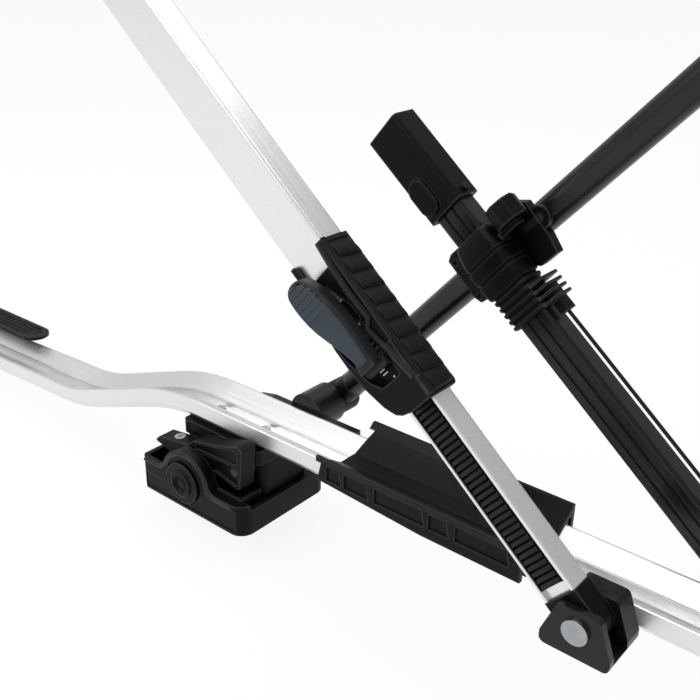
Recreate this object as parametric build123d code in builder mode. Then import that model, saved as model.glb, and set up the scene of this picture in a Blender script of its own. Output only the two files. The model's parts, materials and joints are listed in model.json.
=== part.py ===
from build123d import *
from math import atan2, cos, radians, sin, sqrt, tan
import os

os.makedirs("parts", exist_ok=True)

# Roof mounted bike carrier, in millimetres. X points to the front of the car, Y from the near side
# of the tray to its far side and Z up. The origin is the centre of the seat on the front roof bar.

# Clearances that every piece shares
pin_gap = 0.08  # radial, a pin in its bore
slide_gap = 0.4  # round a bar in its sleeve, each side
side_gap = 0.6  # beside an eye between its cheeks
seat_gap = 0.3  # round a piece that lies in a recess
overrun = 6  # how far a cut runs past the face that it opens
edge_break = 1.2  # small chamfers

# Roof bar that both feet clamp
bar_half_width = 35
bar_thickness = 20

# Tray rail, an extrusion with a groove and two sloping shelves, bent down behind the front foot
tray_half_width = 28
tray_height = 23
tray_base_half_width = 21
tray_base_bevel = 8
tray_wall = 2.2
groove_half_width = 7
groove_floor = 5
shelf_inner = 9
shelf_inner_height = 12
shelf_outer = 25.4
tray_edge_radius = 1
tray_front = 560
tray_rear = 1080
tray_raise = 77
tray_rear_raise = 8
drop_start = 66
drop_end = 232
drop_end_raise = 17
level_start = 420
drop_start_radius = 220
drop_end_radius = 200
level_radius = 600
tray_cap_length = 12
tray_cap_radius = 4

# Wheel cradle over the raised run of the tray
cradle_rear = 141
cradle_front = 345
cradle_half_width = 41
cradle_wall = 2.6
cradle_low = 5.5  # lower edge of the wings above the underside of the tray
cradle_rear_low = 12.5
cradle_low_start = 112
cradle_high = 35
cradle_lip = 3
cradle_inner = 10
cradle_liner = 2.8
cradle_panel_depth = 1.6
cradle_panel_low = 15
cradle_panel_high = 29
cradle_panel_lean = 3
cradle_bead = 1
cradle_bead_depth = 0.7
cradle_tip_length = 6
cradle_tip_drop = 5
cradle_panel_shares = ((0.06, 0.14), (0.155, 0.285), (0.315, 0.565), (0.585, 0.68), (0.71, 0.95))

# Front foot
foot_rear = 73
foot_front = 69
foot_near = 63
foot_far = 57
foot_bottom = 1
foot_height = 27
foot_corner = 15
foot_rear_corner = 6
foot_near_wall = 12
foot_deck_drop = 2.4
foot_rim = 37.5
foot_front_rim = 33
foot_border = 4
foot_blend = 9
foot_panel_depth = 1.2
foot_panel_rear = 20
foot_panel_front = 27
foot_panel_low = 3
foot_panel_round = 5
curb_top = 36
curb_rear = 23
curb_front = 59
curb_inner = 27
curb_width = 3
arch_x = -8
arch_height = 32
arch_radius = 33
arch_band = 6
pocket_wall = 3
pocket_length = 31
pocket_width = 30
pocket_floor = 11
pedestal_rear = 50
pedestal_front = 62
pedestal_near = 27
pedestal_far = 36
pedestal_top = 62
pedestal_corner = 9
pedestal_taper = 4
pad_half_length = 22
pad_half_width = 28
pad_thickness = 6

# Clamp adjuster in the near wall
adjuster_x = -12
adjuster_height = 30
adjuster_ring_radius = 21.5
adjuster_groove = 2.2
adjuster_ring_depth = 2
adjuster_cap_radius = 14.6
adjuster_cap_depth = 9
adjuster_axle_radius = 6
adjuster_axle_length = 44
adjuster_grip_count = 10

# Clamp lever over the front foot
lever_near = 50
lever_far = 32
lever_pin_x = 44
lever_pin_height = 57
lever_pin_radius = 4
lever_pin_near = 46
lever_pin_far = 12
lever_boss_radius = 9
lever_tip_x = -66
lever_length = 124
lever_low = 36
lever_rise = 53
lever_panel_depth = 3
lever_ledge_depth = 1.4
lever_edge = 1.5
lock_x = -38
lock_y = -41
lock_radius = 5.5
lock_depth = 9
lock_rise = 26.6
lock_slot = 1.2

# Claws of the front foot
claw_thickness = 8
claw_gap = 1
claw_reach = 12
claw_tip = 4.5
claw_half_width = 30
claw_top = 21.6
claw_travel = 8
claw_corner = 5
claw_edge = 1
rod_radius = 4
rod_height = 13
rod_half_length = 60

# Saddle between the front foot and the tray
saddle_rear = 45
saddle_front = 60
saddle_half_width = 27
saddle_near_edge = 31
saddle_edge_thickness = 3
saddle_edge_height = 76
saddle_drop = 1.5
saddle_corner = 6
bolt_radius = 3
bolt_head_radius = 5
bolt_head_height = 1.6
bolt_depth = 34
bolt_places = (-22, 40)

# Rear clamp under the tray
rear_x = -700
rear_plate_half_length = 38
rear_plate_half_width = 33
rear_plate_thickness = 5.6
rear_pad_thickness = 2.4
rear_cheek_height = 11
rear_claw_thickness = 6
rear_claw_half_width = 22
rear_claw_travel = 10
rear_block_behind = 84
rear_block_length = 20
rear_block_half_width = 13
rear_block_low = 18
rear_screw_height = -8
rear_screw_radius = 4
rear_screw_length = 62
rear_knob_length = 22
rear_knob_radius = 15
rear_knob_lobes = 6
rear_boss_radius = 9
rear_boss_length = 14

# Near arm: a bar with a toothed strip, and a tube that slides over it
near_pivot_x = 408
pivot_height = 95
near_lean = 40.5
near_bar_y = -57
near_bar_width = 31
near_bar_thickness = 20
near_bar_wall = 2
near_bar_start = 24
near_bar_end = 490
near_eye_radius = 16
near_eye_length = 62
strip_width = 22
strip_height = 3.2
strip_start = 32
strip_pitch = 7
strip_count = 52
strip_tooth_depth = 2.1
tooth_crest_share = 0.32
tooth_foot_share = 0.72
strip_groove = 24
tube_near = -69.5
tube_far = -44.5
tube_low = -24
tube_high = 17.6
tube_wall = 1.8
tube_start = 283
tube_end = 640
tube_corner = 3
guide_length = 62

# Ratchet carriage on the tube
carriage_near = -76
carriage_far = -42.5
carriage_start = 186
carriage_end = 306
carriage_high = 19.4
carriage_low = 33
carriage_recess_depth = 6.8
tab_length = 21
tab_high = -16
tab_low = -23
tab_thickness = 3
window_start = 236
window_end = 263
window_half_width = 9
shell_thickness = 4
shell_border = 5
shell_relief = 1.2
grip_height = 4.8
grip_start = 188
grip_end = 325
grip_near = -76
grip_far = -45
grip_pitch = 14.6
grip_count = 9
grip_radius = 3.4
grip_border = 5.5
grip_groove = 0.8
grip_relief = 1.5
grip_end_cut = 7
scale_shares = ((0.0, 1.0), (0.06, 0.45), (0.14, 0.12), (0.35, 0.0), (1.0, 0.8))

# Ratchet lever
ratchet_pivot_u = 227
ratchet_pivot_y = -79
ratchet_barrel_radius = 4.2
ratchet_barrel_low = -9
ratchet_barrel_high = 8
ratchet_pin_radius = 2
ratchet_ear = 3
ratchet_near = -92
ratchet_far = -81
ratchet_length = 86.5
ratchet_low = 25.3
ratchet_high = 9.5
ratchet_crown = 3.5
ratchet_groove_radius = 1.3
ratchet_groove_count = 6
ratchet_groove_pitch = 5.5
ratchet_groove_start = 54
ratchet_groove_high = 4
ratchet_shares = (
    (0.035, 0.9), (0.15, 0.9), (0.29, 1.0), (0.43, 0.95), (0.57, 0.86), (0.71, 0.63), (0.83, 0.26), (0.925, -0.06),
    (0.983, -0.28), (1.0, -0.57), (0.977, -0.85), (0.92, -0.985), (0.8, -1.0), (0.624, -0.93), (0.405, -0.67),
    (0.283, -0.47), (0.15, -0.33), (0.035, -0.3),
)
pawl_pin_u = 257
pawl_pin_y = -72.6
pawl_pin_radius = 2
pawl_half_width = 7
pawl_thickness = 4.6
pawl_bite = 0.9

# Hook over the tyre
socket_near = -73
socket_far = -41
socket_low = 28
socket_high = 21
socket_length = 34
socket_plug = 12
hook_rod_radius = 7
hook_reach = 57
hook_v = -3.2
hook_far_y = 44
hook_return = 33
hook_bend = 22
hook_pad_radius = 11
hook_pad_half_length = 24
hook_cap_radius = 9
hook_cap_length = 16

# Near hinge bracket
near_cheek = 6
near_bracket_half_length = 27
near_bracket_drop = 23
near_floor = 5
near_pin_radius = 5
pin_flange = 3

# Far prop
prop_pivot_x = 488
prop_lean = 39.5
prop_y = 48
prop_width = 30
prop_thickness = 20
prop_wall = 2.2
prop_start = 20
prop_end = 440
prop_groove = 3
prop_groove_depth = 1.4
prop_eye_radius = 15
prop_eye_length = 44
prop_pin_radius = 5
prop_cheek = 4
collar_start = 255
collar_end = 335
collar_wall = 3.6
collar_ring_depth = 0.9
collar_ring_width = 2
rod_thin_radius = 1.5
rod_thin_v = 24
block_length = 12
block_width = 11
block_height = 9
ear_start = 300
ear_end = 321
ear_high = 40
ear_width = 12
fin_count = 4
fin_pitch = 5.8
fin_thickness = 2.8
fin_high = 31
collar_knob_v = 34.4
collar_knob_radius = 14
collar_knob_length = 18
collar_stud_share = 0.8
collar_stud_radius = 3.5
sleeve_start = 362
sleeve_end = 447
sleeve_wall = 4
button_u = 382
button_v = -7
button_length = 32
button_width = 19
button_height = 3
button_skirt = 0.9
stud_radius = 3
stud_height = 3

# Hoop arm, its crossing plate and the hoop in front of the tyre
hoop_pivot_x = 64
hoop_rise = 47.9
hoop_y = 79
hoop_tube_radius = 13
hoop_tube_wall = 2
hoop_tube_start = 14
hoop_tube_end = 700
hoop_eye_radius = 17
hoop_pin_radius = 7
crossing_u = 270
crossing_before = 48.5
crossing_after = 43
crossing_low = 25
crossing_high = 30
crossing_depth = 9
crossing_corner = 3
crossing_boss_length = 33
crossing_boss_width = 19
crossing_boss_rise = 2.2
crossing_boss_u = 37
crossing_slot = 4
crossing_slot_u = 40
crossing_slot_v = 17
hoop_rod_radius = 10
hoop_rod_start = 662
hoop_top = 765
hoop_near_y = -27
hoop_near_u = 705
hoop_bend = 22
hoop_sleeve_radius = 17
hoop_sleeve_before = 22
hoop_sleeve_after = 16
hoop_pad_radius = 15
hoop_pad_near = -4
hoop_pad_far = 44
hoop_cap_wall = 1.8
hoop_cap_length = 18
hoop_plate_thickness = 8
hoop_plate_front = 128
hoop_plate_tip = 1
hoop_plate_drop = 15
hoop_plate_rise = 4
hoop_drum_radius = 20

# Rear wheel shoe with its strap
shoe_behind = 166  # behind the rear clamp
shoe_half_length = 40
shoe_half_width = 38
shoe_low = 4
shoe_high = 40
shoe_seat = 28
shoe_seat_half_width = 12
shoe_rim = 8
strap_y = 26.5
strap_width = 34
strap_thickness = 4
strap_reach = 451
strap_height = 45
strap_lug_height = 47
strap_sag = 3
strap_bend_radius = 160
strap_slot_length = 16
strap_slot_width = 6
lug_length = 18
buckle_plate = 5
buckle_half_width = 14
buckle_cheek = 3
buckle_low = 10
buckle_high = 50
buckle_depth = 12
buckle_pin_height = 30
buckle_pin_radius = 2
buckle_lever_length = 40
buckle_lever_thickness = 8


# Places that follow from those sizes
near_bracket_low = pivot_height - near_bracket_drop
hook_u = tube_end + hook_reach
hook_tip_u = hook_u - hook_return
rear_block_x = rear_x - rear_block_behind
shoe_x = rear_x - shoe_behind

# Each arm has its own axes: u runs out along the arm from its pivot, v is square to it
near_arm = (near_pivot_x, pivot_height, radians(near_lean))
prop_arm = (prop_pivot_x, pivot_height, radians(prop_lean))
hoop_arm = (hoop_pivot_x, pivot_height, radians(180 - hoop_rise))


def point_on(arm, u, v, y):
    x, z, a = arm
    return (x - u * cos(a) + v * sin(a), y, z + u * sin(a) + v * cos(a))


def side_of(arm, y):
    # Sketches on it use (u, v) and extrude towards the far side
    x, z, a = arm
    return Plane(origin=(x, y, z), x_dir=(-cos(a), 0, sin(a)), z_dir=(0, 1, 0))


def across(arm, y, u):
    # Sketches on it use (-Y, v) and extrude out along the arm
    a = arm[2]
    return Plane(origin=point_on(arm, u, 0, y), x_dir=(0, -1, 0), z_dir=(-cos(a), 0, sin(a)))


def edge_of(arm, y, v):
    # Sketches on it use (u, -Y) and extrude along v
    a = arm[2]
    return Plane(origin=point_on(arm, 0, v, y), x_dir=(-cos(a), 0, sin(a)), z_dir=(sin(a), 0, cos(a)))


def wall_at(y):
    # Sketches on it use (X, Z) and extrude towards the far side
    return Plane(origin=(0, y, 0), x_dir=(-1, 0, 0), z_dir=(0, 1, 0))


def section_at(x, z=0):
    # Sketches on it use (-Y, Z) and extrude towards the rear
    return Plane(origin=(x, 0, z), x_dir=(0, -1, 0), z_dir=(-1, 0, 0))


def outline(points, radius=0, mode=Mode.ADD):
    with BuildLine() as edge:
        if radius:
            FilletPolyline(*points, radius=radius, close=True)
        else:
            Polyline(*points, close=True)
    make_face(edge.edges(), mode=mode)


def save(part, name):
    part.part.label = name
    export_step(part.part, "parts/" + name + ".step")


# Tray rail
tray_slope = (tray_height - shelf_inner_height) / (shelf_outer - shelf_inner)
shelf_drop = tray_wall * sqrt(1 + tray_slope**2)
tray_outline = [
    (tray_base_half_width, 0),
    (tray_half_width, tray_base_bevel),
    (tray_half_width, tray_height),
    (shelf_outer, tray_height),
    (shelf_inner, shelf_inner_height),
    (groove_half_width, shelf_inner_height),
    (groove_half_width, groove_floor),
]
tray_outline += [(-x, z) for x, z in reversed(tray_outline)]
cavity_inner = groove_half_width + tray_wall
cavity_outer = tray_half_width - tray_wall
cavity_side = tray_base_bevel + tray_wall / 2
cavity = [
    (cavity_inner, tray_wall),
    (tray_base_half_width - tray_wall / 2, tray_wall),
    (cavity_outer, cavity_side),
    (cavity_outer, shelf_inner_height - shelf_drop + tray_slope * (cavity_outer - shelf_inner)),
    (cavity_inner, shelf_inner_height - shelf_drop + tray_slope * (cavity_inner - shelf_inner)),
]
with BuildPart() as tray_rail:
    with BuildLine(Plane.XZ) as tray_path:
        FilletPolyline(
            (tray_front, tray_raise),
            (-drop_start, tray_raise),
            (-drop_end, drop_end_raise),
            (-level_start, tray_rear_raise),
            (-tray_rear, tray_rear_raise),
            radius=[drop_start_radius, drop_end_radius, level_radius],
        )
    with BuildSketch(section_at(tray_front, tray_raise)):
        outline(tray_outline)
        fillet(vertices().group_by(Axis.Y)[-1], tray_edge_radius)
        outline(cavity, mode=Mode.SUBTRACT)
        outline([(-x, z) for x, z in cavity], mode=Mode.SUBTRACT)
    sweep()
    with BuildSketch(Plane.XY.offset(tray_raise - overrun)):
        with Locations(*[(x, 0) for x in bolt_places]):
            Circle(bolt_radius + pin_gap)
    extrude(amount=groove_floor + 2 * overrun, mode=Mode.SUBTRACT)
save(tray_rail, "tray_rail")

# Moulded caps close both ends of the tray
cap_outline = [
    (tray_base_half_width, 0),
    (tray_half_width, tray_base_bevel),
    (tray_half_width, tray_height),
    (-tray_half_width, tray_height),
    (-tray_half_width, tray_base_bevel),
    (-tray_base_half_width, 0),
]
with BuildPart() as tray_front_cap:
    with BuildSketch(section_at(tray_front + tray_cap_length, tray_raise)):
        outline(cap_outline, tray_edge_radius)
    extrude(amount=tray_cap_length)
    fillet(faces().sort_by(Axis.X)[-1].edges().filter_by(GeomType.LINE), tray_cap_radius / 2)
save(tray_front_cap, "tray_front_cap")

with BuildPart() as tray_rear_cap:
    with BuildSketch(section_at(-tray_rear, tray_rear_raise)):
        outline(cap_outline, tray_edge_radius)
    extrude(amount=tray_cap_length)
    fillet(faces().sort_by(Axis.X)[0].edges().filter_by(GeomType.LINE), tray_cap_radius / 2)
save(tray_rear_cap, "tray_rear_cap")

# Wheel cradle: a liner on the shelves with a hollow wing down each side of the tray
liner_low = shelf_inner_height + tray_slope * (cradle_inner - shelf_inner)
wing_inner = tray_half_width + seat_gap
wing_outer = cradle_half_width - cradle_panel_depth
cradle_half = [
    (cradle_inner, liner_low),
    (shelf_outer, tray_height),
    (wing_inner, tray_height),
    (wing_inner, cradle_low),
    (wing_inner + cradle_wall, cradle_low),
    (wing_inner + cradle_wall, tray_height + cradle_wall),
    (wing_outer - cradle_wall, tray_height + cradle_wall),
    (wing_outer - cradle_wall, cradle_low),
    (cradle_half_width, cradle_low),
    (cradle_half_width, cradle_high),
    (cradle_half_width - cradle_lip, cradle_high),
    (wing_inner + cradle_wall, tray_height + cradle_liner + cradle_wall),
    (shelf_outer, tray_height + cradle_liner),
    (cradle_inner, liner_low + cradle_liner),
]
with BuildPart() as wheel_cradle:
    with BuildSketch(section_at(cradle_front, tray_raise)):
        outline(cradle_half)
        outline([(-x, z) for x, z in cradle_half])
        with Locations((0, liner_low + cradle_liner / 2)):
            Rectangle(2 * cradle_inner, cradle_liner)
    extrude(amount=cradle_front - cradle_rear)
    # Recessed panels along the outer faces, and the groove between the two beads of the lip
    cradle_length = cradle_front - cradle_rear
    for start_share, end_share in cradle_panel_shares:
        start = cradle_rear + start_share * cradle_length
        end = cradle_rear + end_share * cradle_length
        for y in (-cradle_half_width, cradle_half_width - cradle_panel_depth):
            with BuildSketch(wall_at(y)):
                outline([
                    (-start, tray_raise + cradle_panel_low),
                    (-end, tray_raise + cradle_panel_low),
                    (-end + cradle_panel_lean, tray_raise + cradle_panel_high),
                    (-start, tray_raise + cradle_panel_high),
                ])
            extrude(amount=cradle_panel_depth, mode=Mode.SUBTRACT)
    bead_height = tray_raise + cradle_high - 3 * cradle_bead
    for y in (-cradle_half_width, cradle_half_width - cradle_bead_depth):
        with BuildSketch(wall_at(y)):
            with Locations((-(cradle_front + cradle_rear) / 2, bead_height)):
                Rectangle(cradle_length, cradle_bead)
        extrude(amount=cradle_bead_depth, mode=Mode.SUBTRACT)
    # The wings grow deeper to the front, and their rear end slopes under the tip of the lip
    with BuildSketch(wall_at(-cradle_half_width - overrun)):
        outline([
            (-cradle_rear + overrun, tray_raise + cradle_rear_low),
            (-cradle_rear - cradle_low_start, tray_raise + cradle_low),
            (-cradle_rear - cradle_low_start, tray_raise),
            (-cradle_rear + overrun, tray_raise),
        ])
        outline([
            (-cradle_rear - cradle_tip_length, tray_raise + cradle_high - cradle_tip_drop),
            (-cradle_rear, tray_raise + cradle_low),
            (-cradle_rear + overrun, tray_raise + cradle_low),
            (-cradle_rear + overrun, tray_raise + cradle_high - cradle_tip_drop),
        ])
    extrude(amount=2 * (cradle_half_width + overrun), mode=Mode.SUBTRACT)
save(wheel_cradle, "wheel_cradle")

# Front foot housing
foot_length = foot_front + foot_rear
foot_width = foot_near + foot_far
foot_mid_x = (foot_front - foot_rear) / 2
foot_mid_y = (foot_far - foot_near) / 2
wall_inner = foot_near_wall - foot_near
arch_top = arch_height + arch_radius
claw_inner = bar_half_width + claw_gap
claw_outer = claw_inner + claw_thickness
with BuildPart() as front_foot:
    with BuildSketch(Plane.XY.offset(foot_bottom)):
        with Locations((foot_mid_x, foot_mid_y)):
            Rectangle(foot_length, foot_width)
        fillet(vertices().group_by(Axis.X)[-1], foot_corner)
        fillet(vertices().group_by(Axis.X)[0], foot_rear_corner)
    extrude(amount=arch_top - foot_bottom)
    # Above the side profile of the near wall
    with BuildSketch(wall_at(-foot_near - overrun)):
        with BuildLine():
            high = arch_top + overrun
            rear_spring = arch_x - sqrt(arch_radius**2 - (foot_rim - arch_height) ** 2)
            front_spring = arch_x + sqrt(arch_radius**2 - (foot_front_rim - arch_height) ** 2)
            Polyline(
                (-rear_spring, foot_rim),
                (foot_rear + overrun, foot_rim),
                (foot_rear + overrun, high),
                (-foot_front - overrun, high),
                (-foot_front - overrun, foot_front_rim),
                (-front_spring, foot_front_rim),
            )
            ThreePointArc((-front_spring, foot_front_rim), (-arch_x, arch_top), (-rear_spring, foot_rim))
        make_face()
        fillet(vertices().sort_by_distance((-rear_spring, foot_rim))[0], foot_blend)
        fillet(vertices().sort_by_distance((-front_spring, foot_front_rim))[0], foot_blend)
    extrude(amount=foot_near_wall + overrun, mode=Mode.SUBTRACT)
    # Above the deck behind that wall, but for the pocket rim at the rear
    with BuildSketch(Plane.XY.offset(foot_height)):
        with Locations((foot_mid_x, (foot_far + wall_inner) / 2 + overrun / 2)):
            Rectangle(foot_length + 2 * overrun, foot_far - wall_inner + overrun)
        with Locations((-foot_rear + pocket_length / 2, -foot_near + foot_near_wall)):
            Rectangle(pocket_length + 2 * pocket_wall, 2 * (pocket_width + pocket_wall - foot_near_wall),
                      mode=Mode.SUBTRACT)
    extrude(amount=arch_top, mode=Mode.SUBTRACT)
    with BuildSketch(Plane.XY.offset(foot_rim)):
        with Locations((-foot_rear, wall_inner + pocket_width)):
            Rectangle(3 * pocket_length, 2 * pocket_width)
    extrude(amount=arch_top, mode=Mode.SUBTRACT)
    # Shallow sunk deck
    with BuildSketch(Plane.XY.offset(foot_height - foot_deck_drop)):
        with Locations((foot_mid_x + foot_border, (foot_far + wall_inner) / 2)):
            RectangleRounded(foot_length - 4 * foot_border, foot_far - wall_inner - 2 * foot_border, foot_border)
        with Locations((-foot_rear + pocket_length / 2, -foot_near + foot_near_wall)):
            Rectangle(pocket_length + 4 * pocket_wall, 2 * (pocket_width + 2 * pocket_wall - foot_near_wall),
                      mode=Mode.SUBTRACT)
    extrude(amount=foot_deck_drop, mode=Mode.SUBTRACT)
    # Pedestal under the saddle, with the boss of the lever pin
    pedestal_length = pedestal_front + pedestal_rear
    pedestal_width = pedestal_near + pedestal_far
    with BuildSketch(Plane.XY.offset(foot_height - foot_deck_drop)):
        with Locations(((pedestal_front - pedestal_rear) / 2, (pedestal_far - pedestal_near) / 2)):
            RectangleRounded(pedestal_length, pedestal_width, pedestal_corner)
    extrude(amount=pedestal_top - foot_height + foot_deck_drop, taper=pedestal_taper)
    with BuildSketch(wall_at(-lever_far + side_gap)):
        with Locations((-lever_pin_x, lever_pin_height)):
            Circle(lever_boss_radius)
        with Locations((-lever_pin_x, pedestal_top)):
            Rectangle(2 * lever_boss_radius, lever_boss_radius, align=(Align.CENTER, Align.MIN), mode=Mode.SUBTRACT)
    extrude(amount=lever_far - side_gap - pedestal_near + lever_boss_radius)
    with BuildSketch(wall_at(-lever_far)):
        with Locations((-lever_pin_x, lever_pin_height)):
            Circle(lever_pin_radius + pin_gap)
    extrude(amount=lever_far - lever_pin_far, mode=Mode.SUBTRACT)
    # Pocket at the rear, sunk panel inside the border of the arch, and the ring of the adjuster
    with BuildSketch(Plane.XY.offset(pocket_floor)):
        with Locations((-foot_rear + pocket_wall + pocket_length / 2, -foot_near + pocket_wall + pocket_width / 2)):
            RectangleRounded(pocket_length - pocket_wall, pocket_width - pocket_wall, pocket_wall)
    extrude(amount=foot_rim, mode=Mode.SUBTRACT)
    panel_radius = arch_radius - arch_band
    with BuildSketch(wall_at(-foot_near)):
        outline([
            (foot_rear - foot_border, foot_panel_low),
            (foot_rear - foot_border, foot_panel_rear),
            (-arch_x + panel_radius + foot_panel_round, foot_panel_rear),
            (-arch_x + panel_radius, arch_height),
            (-arch_x - panel_radius, arch_height),
            (-arch_x - panel_radius - foot_panel_round, foot_panel_front),
            (-foot_front + foot_border, foot_panel_front),
            (-foot_front + foot_border, foot_panel_low),
        ], foot_panel_round / 2)
        with Locations((-arch_x, arch_height)):
            Circle(panel_radius)
    extrude(amount=foot_panel_depth, mode=Mode.SUBTRACT)
    with BuildSketch(wall_at(-foot_near)):
        with Locations((-adjuster_x, adjuster_height)):
            Circle(adjuster_ring_radius + adjuster_groove)
    extrude(amount=2 * foot_panel_depth, mode=Mode.SUBTRACT)
    with BuildSketch(wall_at(-foot_near - adjuster_ring_depth)):
        with Locations((-adjuster_x, adjuster_height)):
            Circle(adjuster_ring_radius)
    extrude(amount=adjuster_ring_depth + foot_near_wall / 2)
    with BuildSketch(wall_at(-foot_near - adjuster_ring_depth)):
        with Locations((-adjuster_x, adjuster_height)):
            Circle(adjuster_cap_radius + seat_gap)
    extrude(amount=adjuster_cap_depth, mode=Mode.SUBTRACT)
    with BuildSketch(wall_at(-foot_near)):
        with Locations((-adjuster_x, adjuster_height)):
            Circle(adjuster_axle_radius + pin_gap)
    extrude(amount=adjuster_axle_length + adjuster_cap_depth, mode=Mode.SUBTRACT)
    # Curb along the inner edge of the near wall and across the front of the deck
    with BuildSketch(Plane.XY.offset(foot_height - foot_deck_drop)):
        outline([
            (curb_rear, wall_inner - curb_width),
            (curb_front, wall_inner - curb_width),
            (curb_front, -curb_inner),
            (curb_front - curb_width, -curb_inner),
            (curb_front - curb_width, wall_inner),
            (curb_rear, wall_inner),
        ])
    extrude(amount=curb_top - foot_height + foot_deck_drop)
    # Recess of the rubber pad, the two claw slots and the bore of the guide rod
    with BuildSketch(Plane.XY.offset(-overrun)):
        Rectangle(2 * (pad_half_length + seat_gap), 2 * (pad_half_width + seat_gap))
    extrude(amount=pad_thickness + overrun, mode=Mode.SUBTRACT)
    with BuildSketch(Plane.XY.offset(-overrun)):
        for side in (-1, 1):
            with Locations((side * (claw_inner + claw_outer + claw_travel) / 2, 0)):
                Rectangle(claw_thickness + claw_travel + 2 * slide_gap, 2 * (claw_half_width + slide_gap))
    extrude(amount=claw_top + slide_gap + overrun, mode=Mode.SUBTRACT)
    with BuildSketch(section_at(rod_half_length)):
        with Locations((0, rod_height)):
            Circle(rod_radius)
    extrude(amount=2 * rod_half_length, mode=Mode.SUBTRACT)
    # Holes of the two bolts that hold the tray
    with BuildSketch(Plane.XY.offset(pedestal_top)):
        with Locations(*[(x, 0) for x in bolt_places]):
            Circle(bolt_radius + pin_gap)
    extrude(amount=-bolt_depth, mode=Mode.SUBTRACT)
save(front_foot, "front_foot")

with BuildPart() as front_bar_pad:
    with BuildSketch():
        RectangleRounded(2 * pad_half_length, 2 * pad_half_width, pad_thickness / 2)
    extrude(amount=pad_thickness)
save(front_bar_pad, "front_bar_pad")

with BuildPart() as guide_rod:
    with BuildSketch(section_at(rod_half_length)):
        with Locations((0, rod_height)):
            Circle(rod_radius)
    extrude(amount=2 * rod_half_length)
save(guide_rod, "guide_rod")

with BuildPart() as adjuster_axle:
    with BuildSketch(wall_at(-foot_near - adjuster_ring_depth + adjuster_cap_depth)):
        with Locations((-adjuster_x, adjuster_height)):
            Circle(adjuster_axle_radius)
    extrude(amount=adjuster_axle_length)
save(adjuster_axle, "adjuster_axle")

# Cap of the adjuster, with finger flutes round its edge and a hex socket
adjuster_face = -foot_near - adjuster_ring_depth - adjuster_ring_depth
with BuildPart() as adjuster_cap:
    with BuildSketch(wall_at(adjuster_face)):
        with Locations((-adjuster_x, adjuster_height)):
            Circle(adjuster_cap_radius)
            with PolarLocations(adjuster_cap_radius + seat_gap, adjuster_grip_count):
                Circle(adjuster_ring_depth, mode=Mode.SUBTRACT)
    extrude(amount=adjuster_cap_depth + adjuster_ring_depth)
    with BuildSketch(wall_at(adjuster_face)):
        with Locations((-adjuster_x, adjuster_height)):
            Circle(adjuster_cap_radius - 2 * adjuster_ring_depth)
            Circle(adjuster_axle_radius, mode=Mode.SUBTRACT)
    extrude(amount=adjuster_ring_depth, mode=Mode.SUBTRACT)
    with BuildSketch(wall_at(adjuster_face)):
        with Locations((-adjuster_x, adjuster_height)):
            RegularPolygon(adjuster_axle_radius / 2, 6)
    extrude(amount=adjuster_cap_depth / 2, mode=Mode.SUBTRACT)
save(adjuster_cap, "adjuster_cap")

# Clamp lever: a thumb lip at its rear tip, a rising back and a pivot at its high front end
lever_shares = [
    (0.0, 0.3), (0.055, 0.42), (0.2, 0.47), (0.4, 0.53), (0.46, 0.68), (0.72, 0.82),
    (0.95, 0.99), (1.0, 0.95), (0.97, 0.15), (0.93, 0.12), (0.74, 0.23), (0.33, 0.14),
]
lever_points = [(-lever_tip_x - along * lever_length, lever_low + up * lever_rise) for along, up in lever_shares]
ledge_shares = ((0.48, 0.55), (0.95, 0.63), (0.95, 0.9), (0.5, 0.65))
panel_shares = ((0.47, 0.48), (0.95, 0.56), (0.95, 0.2), (0.74, 0.29), (0.47, 0.25))
lever_width = lever_near - lever_far
with BuildPart() as clamp_lever:
    with BuildSketch(wall_at(-lever_near)):
        outline(lever_points, lever_edge)
    extrude(amount=lever_width)
    # Two long ledges across the near face, the lower one deeper
    for depth, shares in ((lever_ledge_depth, ledge_shares), (lever_panel_depth, panel_shares)):
        with BuildSketch(wall_at(-lever_near)):
            outline([(-lever_tip_x - along * lever_length, lever_low + up * lever_rise) for along, up in shares],
                    lever_edge)
        extrude(amount=depth, mode=Mode.SUBTRACT)
    with BuildSketch(wall_at(-lever_pin_near)):
        with Locations((-lever_pin_x, lever_pin_height)):
            Circle(lever_pin_radius + pin_gap)
    extrude(amount=lever_width, mode=Mode.SUBTRACT)
    with BuildSketch(Plane.XY.offset(lever_low)):
        with Locations((lock_x, lock_y)):
            Circle(lock_radius + pin_gap)
    extrude(amount=lever_rise + overrun, mode=Mode.SUBTRACT)
save(clamp_lever, "clamp_lever")

with BuildPart() as lever_pin:
    with BuildSketch(wall_at(-lever_pin_near + side_gap)):
        with Locations((-lever_pin_x, lever_pin_height)):
            Circle(lever_pin_radius)
    extrude(amount=lever_pin_near - lever_pin_far - 2 * side_gap)
save(lever_pin, "lever_pin")

lock_top = lever_low + lock_rise
with BuildPart() as lock_cylinder:
    with BuildSketch(Plane.XY.offset(lock_top - lock_depth)):
        with Locations((lock_x, lock_y)):
            Circle(lock_radius)
    extrude(amount=lock_depth)
    with BuildSketch(Plane.XY.offset(lock_top)):
        with Locations((lock_x, lock_y)):
            Rectangle(lock_slot, lock_radius)
    extrude(amount=-lock_depth / 2, mode=Mode.SUBTRACT)
save(lock_cylinder, "lock_cylinder")

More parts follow.
